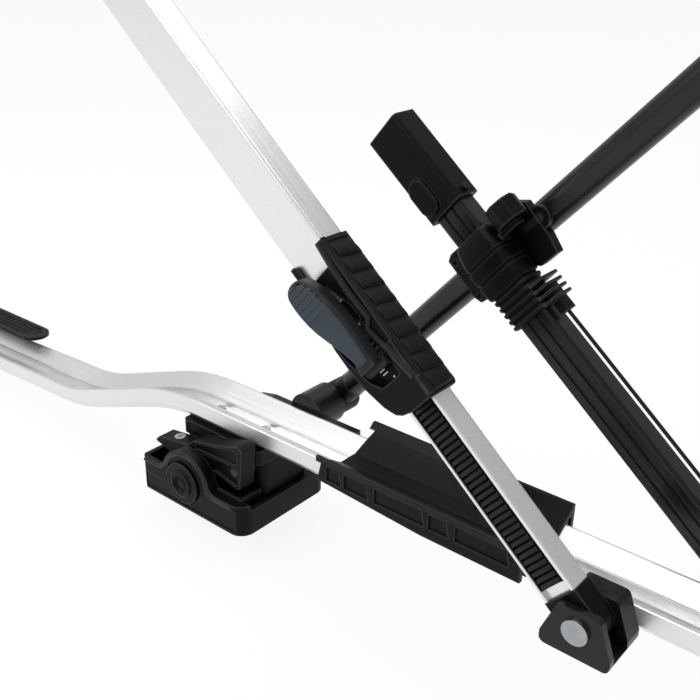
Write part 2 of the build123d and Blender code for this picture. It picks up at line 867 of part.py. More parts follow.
# Claws that close under the bar; the same profile faces both ways
claw_low = bar_thickness + seat_gap
claw_profile = [
    (claw_inner, claw_top),
    (claw_outer, claw_top),
    (claw_outer, -claw_low),
    (claw_outer - claw_corner, -claw_low - claw_tip),
    (claw_inner - claw_reach, -claw_low - claw_tip),
    (claw_inner - claw_reach, -claw_low - claw_tip / 4),
    (claw_inner - claw_corner / 2, -claw_low),
    (claw_inner, -claw_low + claw_corner / 2),
]
with BuildPart() as front_claw:
    with BuildSketch(wall_at(-claw_half_width)):
        outline([(-x, z) for x, z in claw_profile], claw_edge)
    extrude(amount=2 * claw_half_width)
    with BuildSketch(section_at(rod_half_length)):
        with Locations((0, rod_height)):
            Circle(rod_radius + pin_gap)
    extrude(amount=2 * rod_half_length, mode=Mode.SUBTRACT)
save(front_claw, "front_claw")

with BuildPart() as back_claw:
    with BuildSketch(wall_at(-claw_half_width)):
        outline(claw_profile, claw_edge)
    extrude(amount=2 * claw_half_width)
    with BuildSketch(section_at(rod_half_length)):
        with Locations((0, rod_height)):
            Circle(rod_radius + pin_gap)
    extrude(amount=2 * rod_half_length, mode=Mode.SUBTRACT)
save(back_claw, "back_claw")

# Saddle plate, its near edge stands up beside the tray
drop_turn = atan2(tray_raise - drop_end_raise, drop_end - drop_start)
level_edge = drop_start - drop_start_radius * tan(drop_turn / 2)
with BuildPart() as tray_saddle:
    with BuildSketch(Plane.XY.offset(pedestal_top)):
        with Locations(((saddle_front - saddle_rear) / 2, (saddle_half_width - saddle_near_edge) / 2)):
            RectangleRounded(saddle_front + saddle_rear, saddle_half_width + saddle_near_edge, saddle_corner)
    extrude(amount=tray_raise - pedestal_top)
    with BuildSketch(wall_at(-saddle_near_edge)):
        outline([
            (level_edge, tray_raise),
            (saddle_rear + overrun, tray_raise - saddle_drop),
            (saddle_rear + overrun, tray_raise + overrun),
            (level_edge, tray_raise + overrun),
        ])
    extrude(amount=2 * saddle_near_edge, mode=Mode.SUBTRACT)
    with BuildSketch(Plane.XY.offset(pedestal_top)):
        with Locations(*[(x, 0) for x in bolt_places]):
            Circle(bolt_radius + pin_gap)
    extrude(amount=tray_raise, mode=Mode.SUBTRACT)
save(tray_saddle, "tray_saddle")

with BuildPart() as tray_bolts:
    for x in bolt_places:
        with BuildSketch(Plane.XY.offset(tray_raise + groove_floor)):
            with Locations((x, 0)):
                Circle(bolt_head_radius)
        extrude(amount=bolt_head_height)
        with BuildSketch(Plane.XY.offset(tray_raise + groove_floor)):
            with Locations((x, 0)):
                Circle(bolt_radius)
        extrude(amount=-(tray_raise + groove_floor - pedestal_top + bolt_depth - side_gap))
save(tray_bolts, "tray_bolts")

# Rear clamp: a slim body under the tray with a fixed claw, a moving claw and its screw
rear_low = bar_thickness + seat_gap
rear_profile = [
    (claw_inner, rear_pad_thickness),
    (claw_inner + rear_claw_thickness, rear_pad_thickness),
    (claw_inner + rear_claw_thickness, -rear_low),
    (claw_inner + rear_claw_thickness - claw_tip, -rear_low - claw_tip),
    (claw_inner - claw_reach, -rear_low - claw_tip),
    (claw_inner - claw_reach, -rear_low - claw_tip / 4),
    (claw_inner, -rear_low),
]
with BuildPart() as rear_clamp_body:
    with BuildSketch(section_at(rear_x + rear_plate_half_length)):
        with Locations((0, rear_pad_thickness)):
            Rectangle(2 * rear_plate_half_width, rear_plate_thickness, align=(Align.CENTER, Align.MIN))
        cheek_inner = tray_half_width + seat_gap
        for side in (-1, 1):
            with Locations((side * (cheek_inner + rear_plate_half_width) / 2, rear_pad_thickness)):
                Rectangle(rear_plate_half_width - cheek_inner, rear_plate_thickness + rear_cheek_height,
                          align=(Align.CENTER, Align.MIN))
    extrude(amount=2 * rear_plate_half_length)
    with BuildSketch(wall_at(-rear_claw_half_width)):
        outline([(-rear_x - x, z) for x, z in rear_profile])
    extrude(amount=2 * rear_claw_half_width)
    # Arm back to the block that carries the screw
    with BuildSketch(Plane.XY.offset(rear_pad_thickness)):
        with Locations((rear_x - rear_plate_half_length, 0)):
            Rectangle(2 * (rear_x - rear_plate_half_length - rear_block_x) + rear_block_length,
                      2 * rear_block_half_width)
    extrude(amount=rear_plate_thickness)
    with BuildSketch(section_at(rear_block_x + rear_block_length / 2)):
        with Locations((0, rear_pad_thickness + rear_plate_thickness)):
            RectangleRounded(2 * rear_block_half_width, rear_block_low + rear_pad_thickness + rear_plate_thickness,
                             claw_corner, align=(Align.CENTER, Align.MAX))
    extrude(amount=rear_block_length)
    with BuildSketch(section_at(rear_block_x + rear_block_length)):
        with Locations((0, rear_screw_height)):
            Circle(rear_screw_radius + pin_gap)
    extrude(amount=2 * rear_block_length, mode=Mode.SUBTRACT)
save(rear_clamp_body, "rear_clamp_body")

with BuildPart() as rear_bar_pad:
    with BuildSketch():
        with Locations((rear_x, 0)):
            RectangleRounded(2 * pad_half_length, 2 * rear_claw_half_width, rear_pad_thickness)
    extrude(amount=rear_pad_thickness)
save(rear_bar_pad, "rear_bar_pad")

rear_claw_top = rear_pad_thickness - slide_gap
boss_length = rear_boss_length
with BuildPart() as rear_claw:
    with BuildSketch(wall_at(-rear_claw_half_width)):
        outline([(-rear_x + x, min(z, rear_claw_top)) for x, z in rear_profile])
    extrude(amount=2 * rear_claw_half_width)
    with BuildSketch(section_at(rear_x - claw_inner - rear_claw_thickness)):
        with Locations((0, rear_screw_height)):
            Circle(rear_boss_radius)
    extrude(amount=boss_length)
    with BuildSketch(section_at(rear_x - claw_inner)):
        with Locations((0, rear_screw_height)):
            Circle(rear_screw_radius + pin_gap)
    extrude(amount=boss_length + rear_claw_thickness, mode=Mode.SUBTRACT)
save(rear_claw, "rear_claw")

# Screw and lobed knob behind the rear clamp
screw_front = rear_x - claw_inner - side_gap
knob_front = rear_block_x - rear_block_length / 2 - side_gap
with BuildPart() as rear_clamp_knob:
    with BuildSketch(section_at(knob_front, rear_screw_height)):
        Circle(rear_knob_radius)
        with PolarLocations(rear_knob_radius + rear_screw_radius / 2, rear_knob_lobes):
            Circle(rear_screw_radius, mode=Mode.SUBTRACT)
    extrude(amount=rear_knob_length)
    chamfer(faces().sort_by(Axis.X)[0].edges(), edge_break)
    with BuildSketch(section_at(screw_front, rear_screw_height)):
        Circle(rear_screw_radius)
    extrude(amount=screw_front - knob_front + rear_knob_length / 2)
save(rear_clamp_knob, "rear_clamp_knob")

# Near hinge bracket: a block against the tray, an outer cheek and a floor under the eye
near_side = near_bar_y - near_bar_thickness / 2
far_side = near_bar_y + near_bar_thickness / 2
near_outer = near_side - side_gap - near_cheek
bracket_profile = [
    (-near_pivot_x - near_bracket_half_length, near_bracket_low),
    (-near_pivot_x - near_bracket_half_length, near_bracket_low + 2 * near_floor),
    (-near_pivot_x - near_eye_radius, pivot_height + near_eye_radius),
    (-near_pivot_x + near_eye_radius, pivot_height + near_eye_radius),
    (-near_pivot_x + near_bracket_half_length, near_bracket_low + 2 * near_floor),
    (-near_pivot_x + near_bracket_half_length, near_bracket_low),
]
with BuildPart() as near_bracket:
    with BuildSketch(wall_at(near_outer)):
        outline(bracket_profile, near_floor)
    extrude(amount=-tray_half_width - near_outer)
    with BuildSketch(wall_at(near_side - side_gap)):
        with Locations((-near_pivot_x, near_bracket_low + near_floor)):
            Rectangle(2 * near_bracket_half_length + overrun, 2 * pivot_height, align=(Align.CENTER, Align.MIN))
    extrude(amount=near_bar_thickness + 2 * side_gap, mode=Mode.SUBTRACT)
    with BuildSketch(wall_at(near_outer - overrun)):
        with Locations((-near_pivot_x, pivot_height)):
            Circle(near_pin_radius)
    extrude(amount=-tray_half_width - near_outer + overrun - near_cheek, mode=Mode.SUBTRACT)
save(near_bracket, "near_bracket")

with BuildPart() as near_pin:
    with BuildSketch(wall_at(near_outer)):
        with Locations((-near_pivot_x, pivot_height)):
            Circle(near_pin_radius)
    extrude(amount=-tray_half_width - near_outer - near_cheek - side_gap)
    with BuildSketch(wall_at(near_outer)):
        with Locations((-near_pivot_x, pivot_height)):
            Circle(2 * near_pin_radius)
    extrude(amount=-pin_flange)
save(near_pin, "near_pin")

# Near arm: a hollow bar with an eye at its foot and the toothed strip let into its near face
strip_length = strip_count * strip_pitch
bar_half = near_bar_width / 2
bar_depth = near_bar_thickness / 2
with BuildPart() as near_arm_bar:
    with BuildSketch(across(near_arm, near_bar_y, near_bar_start)):
        RectangleRounded(near_bar_thickness, near_bar_width, near_bar_wall)
        inner = near_bar_thickness - 2 * near_bar_wall - strip_height
        with Locations((bar_depth - near_bar_wall - strip_height - inner / 2, 0)):
            Rectangle(inner, near_bar_width - 2 * near_bar_wall, mode=Mode.SUBTRACT)
        with Locations((bar_depth - strip_height / 2, 0)):
            Rectangle(strip_height, strip_groove, mode=Mode.SUBTRACT)
    extrude(amount=near_bar_end - near_bar_start)
save(near_arm_bar, "near_arm_bar")

with BuildPart() as near_arm_eye:
    with BuildSketch(side_of(near_arm, near_side)):
        Circle(near_eye_radius)
        with Locations((0, 0)):
            Rectangle(near_bar_start, near_bar_width, align=(Align.MIN, Align.CENTER))
        Circle(near_pin_radius + pin_gap, mode=Mode.SUBTRACT)
    extrude(amount=near_bar_thickness)
    with BuildSketch(across(near_arm, near_bar_y, near_bar_start)):
        with Locations((bar_depth - near_bar_wall - strip_height - inner / 2, 0)):
            Rectangle(inner - slide_gap, near_bar_width - 2 * near_bar_wall - slide_gap)
    extrude(amount=near_eye_length)
save(near_arm_eye, "near_arm_eye")

# Toothed strip: each tooth rises slowly and drops steeply, so the carriage holds against lifting
tooth_points = [(0, 0)]
for n in range(strip_count):
    at = n * strip_pitch
    tooth_points += [
        (at, strip_height),
        (at + tooth_crest_share * strip_pitch, strip_height),
        (at + tooth_foot_share * strip_pitch, strip_height - strip_tooth_depth),
        (at + strip_pitch, strip_height - strip_tooth_depth),
    ]
tooth_points += [
    (strip_length, strip_height),
    (strip_length + tooth_crest_share * strip_pitch, strip_height),
    (strip_length + tooth_crest_share * strip_pitch, 0),
]
strip_back = near_side + strip_height
with BuildPart() as toothed_strip:
    with BuildSketch(edge_of(near_arm, strip_back, -strip_width / 2)):
        outline([(strip_start + u, depth) for u, depth in tooth_points])
    extrude(amount=strip_width)
save(toothed_strip, "toothed_strip")

# Upper tube of the near arm
tube_mid_y = (tube_near + tube_far) / 2
tube_mid_v = (tube_low + tube_high) / 2
tube_depth = tube_far - tube_near
tube_height = tube_high - tube_low
with BuildPart() as upper_tube:
    with BuildSketch(across(near_arm, tube_mid_y, tube_start)):
        with Locations((0, tube_mid_v)):
            RectangleRounded(tube_depth, tube_height, tube_corner)
            RectangleRounded(tube_depth - 2 * tube_wall, tube_height - 2 * tube_wall, tube_corner - tube_wall,
                             mode=Mode.SUBTRACT)
    extrude(amount=tube_end - tube_start)
save(upper_tube, "upper_tube")

# Guide block that fills the tube below the bar
guide_low = tube_low + tube_wall
guide_high = -bar_half - slide_gap
with BuildPart() as tube_guide:
    with BuildSketch(across(near_arm, near_bar_y, tube_start)):
        with Locations((0, (guide_low + guide_high) / 2)):
            RectangleRounded(near_bar_thickness, guide_high - guide_low, tube_corner - tube_wall)
    extrude(amount=guide_length)
save(tube_guide, "tube_guide")

# Ratchet carriage: a moulded housing round the bar that takes the end of the tube
carriage_length = carriage_end - carriage_start
carriage_shares = [
    (0.0, 1.0), (0.0, -0.08), (0.02, -0.38), (0.05, -0.55), (0.13, -0.71), (0.3, -0.88), (0.45, -0.93), (0.6, -0.93),
    (0.95, -0.8), (1.0, -0.8), (1.0, 1.0),
]
carriage_points = [
    (carriage_start + along * carriage_length, up * (carriage_low if up < 0 else carriage_high))
    for along, up in carriage_shares
]
recess_shares = [
    (0.22, 0.5), (0.225, -0.4), (0.3, -0.62), (0.5, -0.82), (0.62, -0.85), (0.93, -0.72), (0.93, 0.0), (0.72, 0.5),
]
recess_points = [
    (carriage_start + along * carriage_length, up * (carriage_low if up < 0 else carriage_high))
    for along, up in recess_shares
]
with BuildPart() as carriage_housing:
    with BuildSketch(side_of(near_arm, carriage_near)):
        outline(carriage_points, tube_corner)
    extrude(amount=carriage_far - carriage_near)
    with BuildSketch(across(near_arm, near_bar_y, carriage_start - overrun)):
        Rectangle(near_bar_thickness + 2 * slide_gap, near_bar_width + 2 * slide_gap)
    extrude(amount=carriage_length + 2 * overrun, mode=Mode.SUBTRACT)
    with BuildSketch(across(near_arm, tube_mid_y, tube_start)):
        with Locations((0, tube_mid_v)):
            Rectangle(tube_depth + pin_gap, tube_height + pin_gap)
    extrude(amount=carriage_length, mode=Mode.SUBTRACT)
    with BuildSketch(side_of(near_arm, carriage_near)):
        outline(recess_points, tube_corner)
    extrude(amount=carriage_recess_depth, mode=Mode.SUBTRACT)
    # Window through which the pawl reaches the teeth
    with BuildSketch(side_of(near_arm, carriage_near)):
        with Locations(((window_start + window_end) / 2, 0)):
            Rectangle(window_end - window_start, 2 * window_half_width)
    extrude(amount=near_side - carriage_near, mode=Mode.SUBTRACT)
    # Ears of the lever pin and of the pawl pin
    ear_foot = carriage_near + carriage_recess_depth
    for low in (ratchet_barrel_low - side_gap - ratchet_ear, ratchet_barrel_high + side_gap):
        with BuildSketch(edge_of(near_arm, ear_foot, low)):
            with Locations((ratchet_pivot_u, ear_foot - ratchet_pivot_y)):
                Circle(ratchet_barrel_radius)
            with Locations((ratchet_pivot_u, 0)):
                Rectangle(2 * ratchet_barrel_radius, ear_foot - ratchet_pivot_y, align=(Align.CENTER, Align.MIN))
        extrude(amount=ratchet_ear)
    for low in (-pawl_half_width - side_gap - ratchet_ear, pawl_half_width + side_gap):
        with BuildSketch(edge_of(near_arm, ear_foot, low)):
            with Locations((pawl_pin_u, 0)):
                Rectangle(2 * ratchet_barrel_radius, ear_foot - carriage_near, align=(Align.CENTER, Align.MIN))
        extrude(amount=ratchet_ear)
    with BuildSketch(edge_of(near_arm, ratchet_pivot_y, ratchet_barrel_low - side_gap - ratchet_ear)):
        with Locations((ratchet_pivot_u, 0)):
            Circle(ratchet_pin_radius)
    extrude(amount=ratchet_barrel_high - ratchet_barrel_low + 2 * (side_gap + ratchet_ear), mode=Mode.SUBTRACT)
    pawl_pin_length = 2 * (pawl_half_width + side_gap + ratchet_ear)
    with BuildSketch(edge_of(near_arm, pawl_pin_y, -pawl_pin_length / 2)):
        with Locations((pawl_pin_u, 0)):
            Circle(pawl_pin_radius)
    extrude(amount=pawl_pin_length, mode=Mode.SUBTRACT)
    # Release tab beside the lower edge of the tube
    with BuildSketch(side_of(near_arm, tube_near - side_gap - tab_thickness)):
        outline([
            (carriage_end - tab_length / 2, tab_high),
            (carriage_end + tab_length - tab_thickness, tab_high),
            (carriage_end + tab_length, (tab_high + tab_low) / 2),
            (carriage_end + tab_length, tab_low),
            (carriage_end - tab_length / 2, tab_low),
        ])
    extrude(amount=tab_thickness)
save(carriage_housing, "carriage_housing")

# Raised shell along the upper half of the housing, sunk inside a border
shell_length = grip_end - grip_start
shell_shares = [
    (0.985, 0.8), (0.82, 0.68), (0.66, 0.62), (0.5, 0.7), (0.46, 0.38), (0.34, 0.52), (0.22, 0.7), (0.1, 0.98),
]
shell_high = carriage_high + grip_height
shell_edge = [(grip_start + along * shell_length, up * shell_high) for along, up in shell_shares]
shell_top = [(shell_edge[-1][0], shell_high), (shell_edge[0][0], shell_high)]
with BuildPart() as handle_shell:
    with BuildSketch(side_of(near_arm, carriage_near - shell_thickness)):
        outline(shell_edge + shell_top)
    extrude(amount=shell_thickness)
    with BuildSketch(side_of(near_arm, carriage_near - shell_thickness)):
        outline([(u, v + shell_border) for u, v in shell_edge[:-2]] + [
            (shell_edge[-3][0], shell_high + overrun),
            (shell_edge[0][0], shell_high + overrun),
        ])
    extrude(amount=shell_relief, mode=Mode.SUBTRACT)
save(handle_shell, "handle_shell")

# Rubber grip on top of the housing, one overlapping scale after another
with BuildPart() as rubber_grip:
    with BuildSketch(across(near_arm, (grip_near + grip_far) / 2, grip_start)):
        with Locations((0, carriage_high)):
            Rectangle(grip_far - grip_near, grip_height, align=(Align.CENTER, Align.MIN))
        fillet(vertices().group_by(Axis.Y)[-1], grip_radius)
    extrude(amount=shell_length)
    # Each scale stands proud at its low end and sinks towards the next
    for n in range(grip_count):
        start = grip_start + n * grip_pitch
        with BuildSketch(side_of(near_arm, grip_near + grip_border)):
            outline([(start + along * grip_pitch, shell_high - down * grip_relief) for along, down in scale_shares] + [
                (start + grip_pitch, shell_high + overrun),
                (start, shell_high + overrun),
            ])
        extrude(amount=grip_far - grip_near + overrun, mode=Mode.SUBTRACT)
    with BuildSketch(edge_of(near_arm, grip_near + grip_border, shell_high - grip_relief)):
        with Locations((grip_start + grip_count * grip_pitch / 2, 0)):
            Rectangle(grip_count * grip_pitch, grip_groove)
    extrude(amount=grip_relief + overrun, mode=Mode.SUBTRACT)
    with BuildSketch(edge_of(near_arm, grip_far, carriage_high - overrun)):
        outline([(grip_end - grip_end_cut, 0), (grip_end, grip_end_cut), (grip_end + overrun, 0), (grip_end, -overrun)])
    extrude(amount=grip_height + 2 * overrun, mode=Mode.SUBTRACT)
save(rubber_grip, "rubber_grip")

# Ratchet lever: a broad rounded blade with grip grooves, a narrow neck and a barrel
ratchet_points = [
    (ratchet_pivot_u + along * ratchet_length, up * (ratchet_low if up < 0 else ratchet_high))
    for along, up in ratchet_shares
]
with BuildPart() as ratchet_lever:
    with BuildSketch(side_of(near_arm, ratchet_near)):
        with BuildLine():
            Spline(*ratchet_points)
            Line(ratchet_points[-1], ratchet_points[0])
        make_face()
    extrude(amount=ratchet_far - ratchet_near)
    fillet(faces().sort_by(Axis.Y)[0].edges(), ratchet_crown)
    with BuildSketch(edge_of(near_arm, ratchet_near, -ratchet_low)):
        with Locations((ratchet_pivot_u + ratchet_groove_start, 0)):
            with Locations(*[(n * ratchet_groove_pitch, 0) for n in range(ratchet_groove_count)]):
                Circle(ratchet_groove_radius)
    extrude(amount=ratchet_low + ratchet_groove_high, mode=Mode.SUBTRACT)
    barrel_length = ratchet_barrel_high - ratchet_barrel_low
    with BuildSketch(edge_of(near_arm, ratchet_pivot_y, ratchet_barrel_low)):
        with Locations((ratchet_pivot_u, 0)):
            Circle(ratchet_barrel_radius)
            Rectangle(2 * ratchet_barrel_radius, ratchet_pivot_y - ratchet_near - ratchet_crown / 2,
                      align=(Align.MIN, Align.MIN))
            Rectangle(2 * ratchet_barrel_radius, ratchet_barrel_radius, align=(Align.MIN, Align.CENTER),
                      mode=Mode.SUBTRACT)
            Circle(ratchet_barrel_radius)
            Circle(ratchet_pin_radius + pin_gap, mode=Mode.SUBTRACT)
    extrude(amount=barrel_length)
    with BuildSketch(edge_of(near_arm, ratchet_pivot_y, ratchet_barrel_low - ratchet_low)):
        with Locations((ratchet_pivot_u, 0)):
            Circle(ratchet_pin_radius + pin_gap)
    extrude(amount=2 * ratchet_low + barrel_length, mode=Mode.SUBTRACT)
save(ratchet_lever, "ratchet_lever")

ratchet_pin_length = barrel_length + 2 * (side_gap + ratchet_ear)
with BuildPart() as carriage_pins:
    with BuildSketch(edge_of(near_arm, ratchet_pivot_y, ratchet_barrel_low - side_gap - ratchet_ear)):
        with Locations((ratchet_pivot_u, 0)):
            Circle(ratchet_pin_radius)
    extrude(amount=ratchet_pin_length)
    with BuildSketch(edge_of(near_arm, pawl_pin_y, -pawl_pin_length / 2)):
        with Locations((pawl_pin_u, 0)):
            Circle(pawl_pin_radius)
    extrude(amount=pawl_pin_length)
save(carriage_pins, "carriage_pins")

# Pawl: its nose drops into the gap between two teeth
nose_gap = strip_start + strip_pitch * 30
nose_u = nose_gap + (1 + tooth_foot_share) / 2 * strip_pitch
nose_tip = pawl_pin_y - near_side - pawl_bite
with BuildPart() as drive_pawl:
    with BuildSketch(edge_of(near_arm, pawl_pin_y, -pawl_half_width)):
        with Locations((pawl_pin_u, 0)):
            Circle(pawl_thickness)
        outline([
            (pawl_pin_u, pawl_thickness),
            (nose_u - pawl_bite, pawl_thickness / 2),
            (nose_u - pawl_bite, nose_tip),
            (nose_u + pawl_bite / 2, nose_tip),
            (nose_u + pawl_bite / 2, nose_tip + 2 * pawl_bite),
            (pawl_pin_u, -pawl_thickness),
        ])
        with Locations((pawl_pin_u, 0)):
            Circle(pawl_pin_radius + pin_gap, mode=Mode.SUBTRACT)
    extrude(amount=2 * pawl_half_width)
save(drive_pawl, "drive_pawl")

# Hook over the tyre: a moulded socket, a bent rod, a rubber sleeve and an end cap
hook_y = tube_mid_y
hook_path = [
    (socket_length / 2 + tube_end, hook_y),
    (hook_u, hook_y),
    (hook_u, hook_far_y),
    (hook_tip_u, hook_far_y),
]
with BuildPart() as hook_socket:
    with BuildSketch(across(near_arm, (socket_near + socket_far) / 2, tube_end)):
        with Locations((0, (socket_high - socket_low) / 2)):
            RectangleRounded(socket_far - socket_near, socket_high + socket_low, tube_corner)
    extrude(amount=socket_length, taper=pedestal_taper)
    with BuildSketch(across(near_arm, tube_mid_y, tube_end - socket_plug)):
        with Locations((0, tube_mid_v)):
            RectangleRounded(tube_depth - 2 * tube_wall - pin_gap, tube_height - 2 * tube_wall - pin_gap,
                             tube_corner - tube_wall)
    extrude(amount=socket_plug)
    with BuildSketch(across(near_arm, hook_y, tube_end + socket_length / 2)):
        with Locations((0, hook_v)):
            Circle(hook_rod_radius + pin_gap)
    extrude(amount=socket_length, mode=Mode.SUBTRACT)
save(hook_socket, "hook_socket")

with BuildPart() as wheel_hook:
    with BuildLine(edge_of(near_arm, 0, hook_v)) as hook_line:
        FilletPolyline(*[(u, -y) for u, y in hook_path], radius=hook_bend)
    with BuildSketch(across(near_arm, hook_y, tube_end + socket_length / 2)):
        with Locations((0, hook_v)):
            Circle(hook_rod_radius)
    sweep()
save(wheel_hook, "wheel_hook")

with BuildPart() as hook_pad:
    hook_mid_y = (hook_y + hook_far_y) / 2
    with BuildSketch(Plane(origin=point_on(near_arm, hook_u, hook_v, hook_mid_y - hook_pad_half_length),
                           z_dir=(0, 1, 0))):
        Circle(hook_pad_radius)
        Circle(hook_rod_radius + pin_gap, mode=Mode.SUBTRACT)
    extrude(amount=2 * hook_pad_half_length)
save(hook_pad, "hook_pad")

with BuildPart() as hook_cap:
    with BuildSketch(across(near_arm, hook_far_y, hook_tip_u - hook_cap_length / 4)):
        with Locations((0, hook_v)):
            Circle(hook_cap_radius)
    extrude(amount=hook_cap_length)
    with BuildSketch(across(near_arm, hook_far_y, hook_tip_u)):
        with Locations((0, hook_v)):
            Circle(hook_rod_radius + pin_gap)
    extrude(amount=hook_cap_length, mode=Mode.SUBTRACT)
save(hook_cap, "hook_cap")

# Bracket of the prop: a clevis on the far side of the tray
prop_near = prop_y - prop_thickness / 2
prop_far = prop_y + prop_thickness / 2
prop_outer = prop_far + side_gap + prop_cheek
prop_bracket_profile = [
    (-prop_pivot_x - near_bracket_half_length, near_bracket_low),
    (-prop_pivot_x - near_bracket_half_length, near_bracket_low + 2 * near_floor),
    (-prop_pivot_x - prop_eye_radius, pivot_height + prop_eye_radius - near_floor),
    (-prop_pivot_x + prop_eye_radius, pivot_height + prop_eye_radius - near_floor),
    (-prop_pivot_x + near_bracket_half_length, near_bracket_low + 2 * near_floor),
    (-prop_pivot_x + near_bracket_half_length, near_bracket_low),
]
with BuildPart() as prop_bracket:
    with BuildSketch(wall_at(tray_half_width)):
        outline(prop_bracket_profile, near_floor)
    extrude(amount=prop_outer - tray_half_width)
    with BuildSketch(wall_at(prop_near - side_gap)):
        with Locations((-prop_pivot_x, near_bracket_low + near_floor)):
            Rectangle(2 * near_bracket_half_length + overrun, 2 * pivot_height, align=(Align.CENTER, Align.MIN))
    extrude(amount=prop_thickness + 2 * side_gap, mode=Mode.SUBTRACT)
    with BuildSketch(wall_at(tray_half_width + prop_cheek)):
        with Locations((-prop_pivot_x, pivot_height)):
            Circle(prop_pin_radius)
    extrude(amount=prop_outer, mode=Mode.SUBTRACT)
save(prop_bracket, "prop_bracket")

with BuildPart() as prop_pin:
    with BuildSketch(wall_at(tray_half_width + prop_cheek + side_gap)):
        with Locations((-prop_pivot_x, pivot_height)):
            Circle(prop_pin_radius)
    extrude(amount=prop_outer - tray_half_width - prop_cheek - side_gap)
    with BuildSketch(wall_at(prop_outer)):
        with Locations((-prop_pivot_x, pivot_height)):
            Circle(2 * prop_pin_radius)
    extrude(amount=pin_flange)
save(prop_pin, "prop_pin")

# Far prop: a black grooved extrusion on a moulded foot
prop_half = prop_width / 2
with BuildPart() as prop_bar:
    with BuildSketch(across(prop_arm, prop_y, prop_start)):
        RectangleRounded(prop_thickness, prop_width, prop_groove)
        Rectangle(prop_thickness - 2 * prop_wall - prop_groove_depth, prop_width - 2 * prop_wall, mode=Mode.SUBTRACT)
        with Locations((prop_thickness / 2, prop_half / 3), (prop_thickness / 2, -prop_half / 3)):
            Rectangle(2 * prop_groove_depth, prop_groove, mode=Mode.SUBTRACT)
    extrude(amount=prop_end - prop_start)
save(prop_bar, "prop_bar")

with BuildPart() as prop_foot:
    with BuildSketch(side_of(prop_arm, prop_near)):
        Circle(prop_eye_radius)
        Rectangle(prop_start, prop_width, align=(Align.MIN, Align.CENTER))
        Circle(prop_pin_radius + pin_gap, mode=Mode.SUBTRACT)
    extrude(amount=prop_thickness)
    with BuildSketch(across(prop_arm, prop_y, prop_start)):
        Rectangle(prop_thickness - 2 * prop_wall - prop_groove_depth - slide_gap,
                  prop_width - 2 * prop_wall - slide_gap)
    extrude(amount=prop_eye_length)
    # Eye that guides the thin rod
    with BuildSketch(across(prop_arm, prop_y, prop_eye_radius / 2)):
        with Locations((0, prop_half)):
            Rectangle(block_width, rod_thin_v - prop_half + block_height / 2, align=(Align.CENTER, Align.MIN))
        with Locations((0, rod_thin_v)):
            Circle(rod_thin_radius + seat_gap, mode=Mode.SUBTRACT)
    extrude(amount=prop_start - prop_eye_radius / 2)
save(prop_foot, "prop_foot")

# Collar that slides on the prop: rings, four tall fins, the block of the rod and the ear of the knob
collar_outer_v = prop_half + slide_gap + collar_wall
collar_outer_y = prop_thickness / 2 + slide_gap + collar_wall
collar_near = prop_y - collar_outer_y
collar_length = collar_end - collar_start
ring_shares = (0.04, 0.09, 0.14, 0.19, 0.24, 0.29, 0.5, 0.72, 0.9)
with BuildPart() as prop_collar:
    with BuildSketch(across(prop_arm, prop_y, collar_start)):
        RectangleRounded(2 * collar_outer_y, 2 * collar_outer_v, collar_wall)
    extrude(amount=collar_length)
    for share in ring_shares:
        with BuildSketch(across(prop_arm, prop_y, collar_start + share * collar_length)):
            RectangleRounded(2 * collar_outer_y + overrun, 2 * collar_outer_v + overrun, collar_wall)
            RectangleRounded(2 * (collar_outer_y - collar_ring_depth), 2 * (collar_outer_v - collar_ring_depth),
                             collar_wall - collar_ring_depth, mode=Mode.SUBTRACT)
        extrude(amount=collar_ring_width, mode=Mode.SUBTRACT)
    with BuildSketch(across(prop_arm, prop_y, ear_start)):
        Rectangle(ear_width, ear_high, align=(Align.CENTER, Align.MIN))
        fillet(vertices().group_by(Axis.Y)[-1], collar_wall)
    extrude(amount=ear_end - ear_start)
    for n in range(fin_count):
        with BuildSketch(across(prop_arm, prop_y, collar_start + n * fin_pitch)):
            Rectangle(2 * collar_outer_y - collar_ring_depth, fin_high, align=(Align.CENTER, Align.MIN))
            fillet(vertices().group_by(Axis.Y)[-1], collar_ring_width)
        extrude(amount=fin_thickness)
    with BuildSketch(across(prop_arm, prop_y, collar_start - block_length)):
        with Locations((0, rod_thin_v)):
            Rectangle(block_width, block_height)
    extrude(amount=2 * block_length)
    with BuildSketch(across(prop_arm, prop_y, collar_start)):
        Rectangle(block_width, rod_thin_v, align=(Align.CENTER, Align.MIN))
    extrude(amount=block_length)
    with BuildSketch(across(prop_arm, prop_y, collar_start - 2 * block_length)):
        Rectangle(prop_thickness + 2 * slide_gap, prop_width + 2 * slide_gap)
    extrude(amount=collar_length + 4 * block_length, mode=Mode.SUBTRACT)
    with BuildSketch(across(prop_arm, prop_y, ear_start)):
        with Locations((0, collar_knob_v)):
            Circle(collar_stud_radius)
    extrude(amount=ear_end - ear_start + collar_knob_length * collar_stud_share)
    with BuildSketch(across(prop_arm, prop_y, collar_start - block_length)):
        with Locations((0, rod_thin_v)):
            Circle(rod_thin_radius)
    extrude(amount=block_length, mode=Mode.SUBTRACT)
save(prop_collar, "prop_collar")

with BuildPart() as collar_knob:
    with BuildSketch(across(prop_arm, prop_y, ear_end + seat_gap)):
        with Locations((0, collar_knob_v)):
            RegularPolygon(collar_knob_radius, 8)
    extrude(amount=collar_knob_length)
    chamfer(faces().sort_by(Axis.Z)[-1].edges(), edge_break)
    with BuildSketch(across(prop_arm, prop_y, ear_end)):
        with Locations((0, collar_knob_v)):
            Circle(collar_stud_radius + pin_gap)
    extrude(amount=collar_knob_length * collar_stud_share + side_gap, mode=Mode.SUBTRACT)
save(collar_knob, "collar_knob")

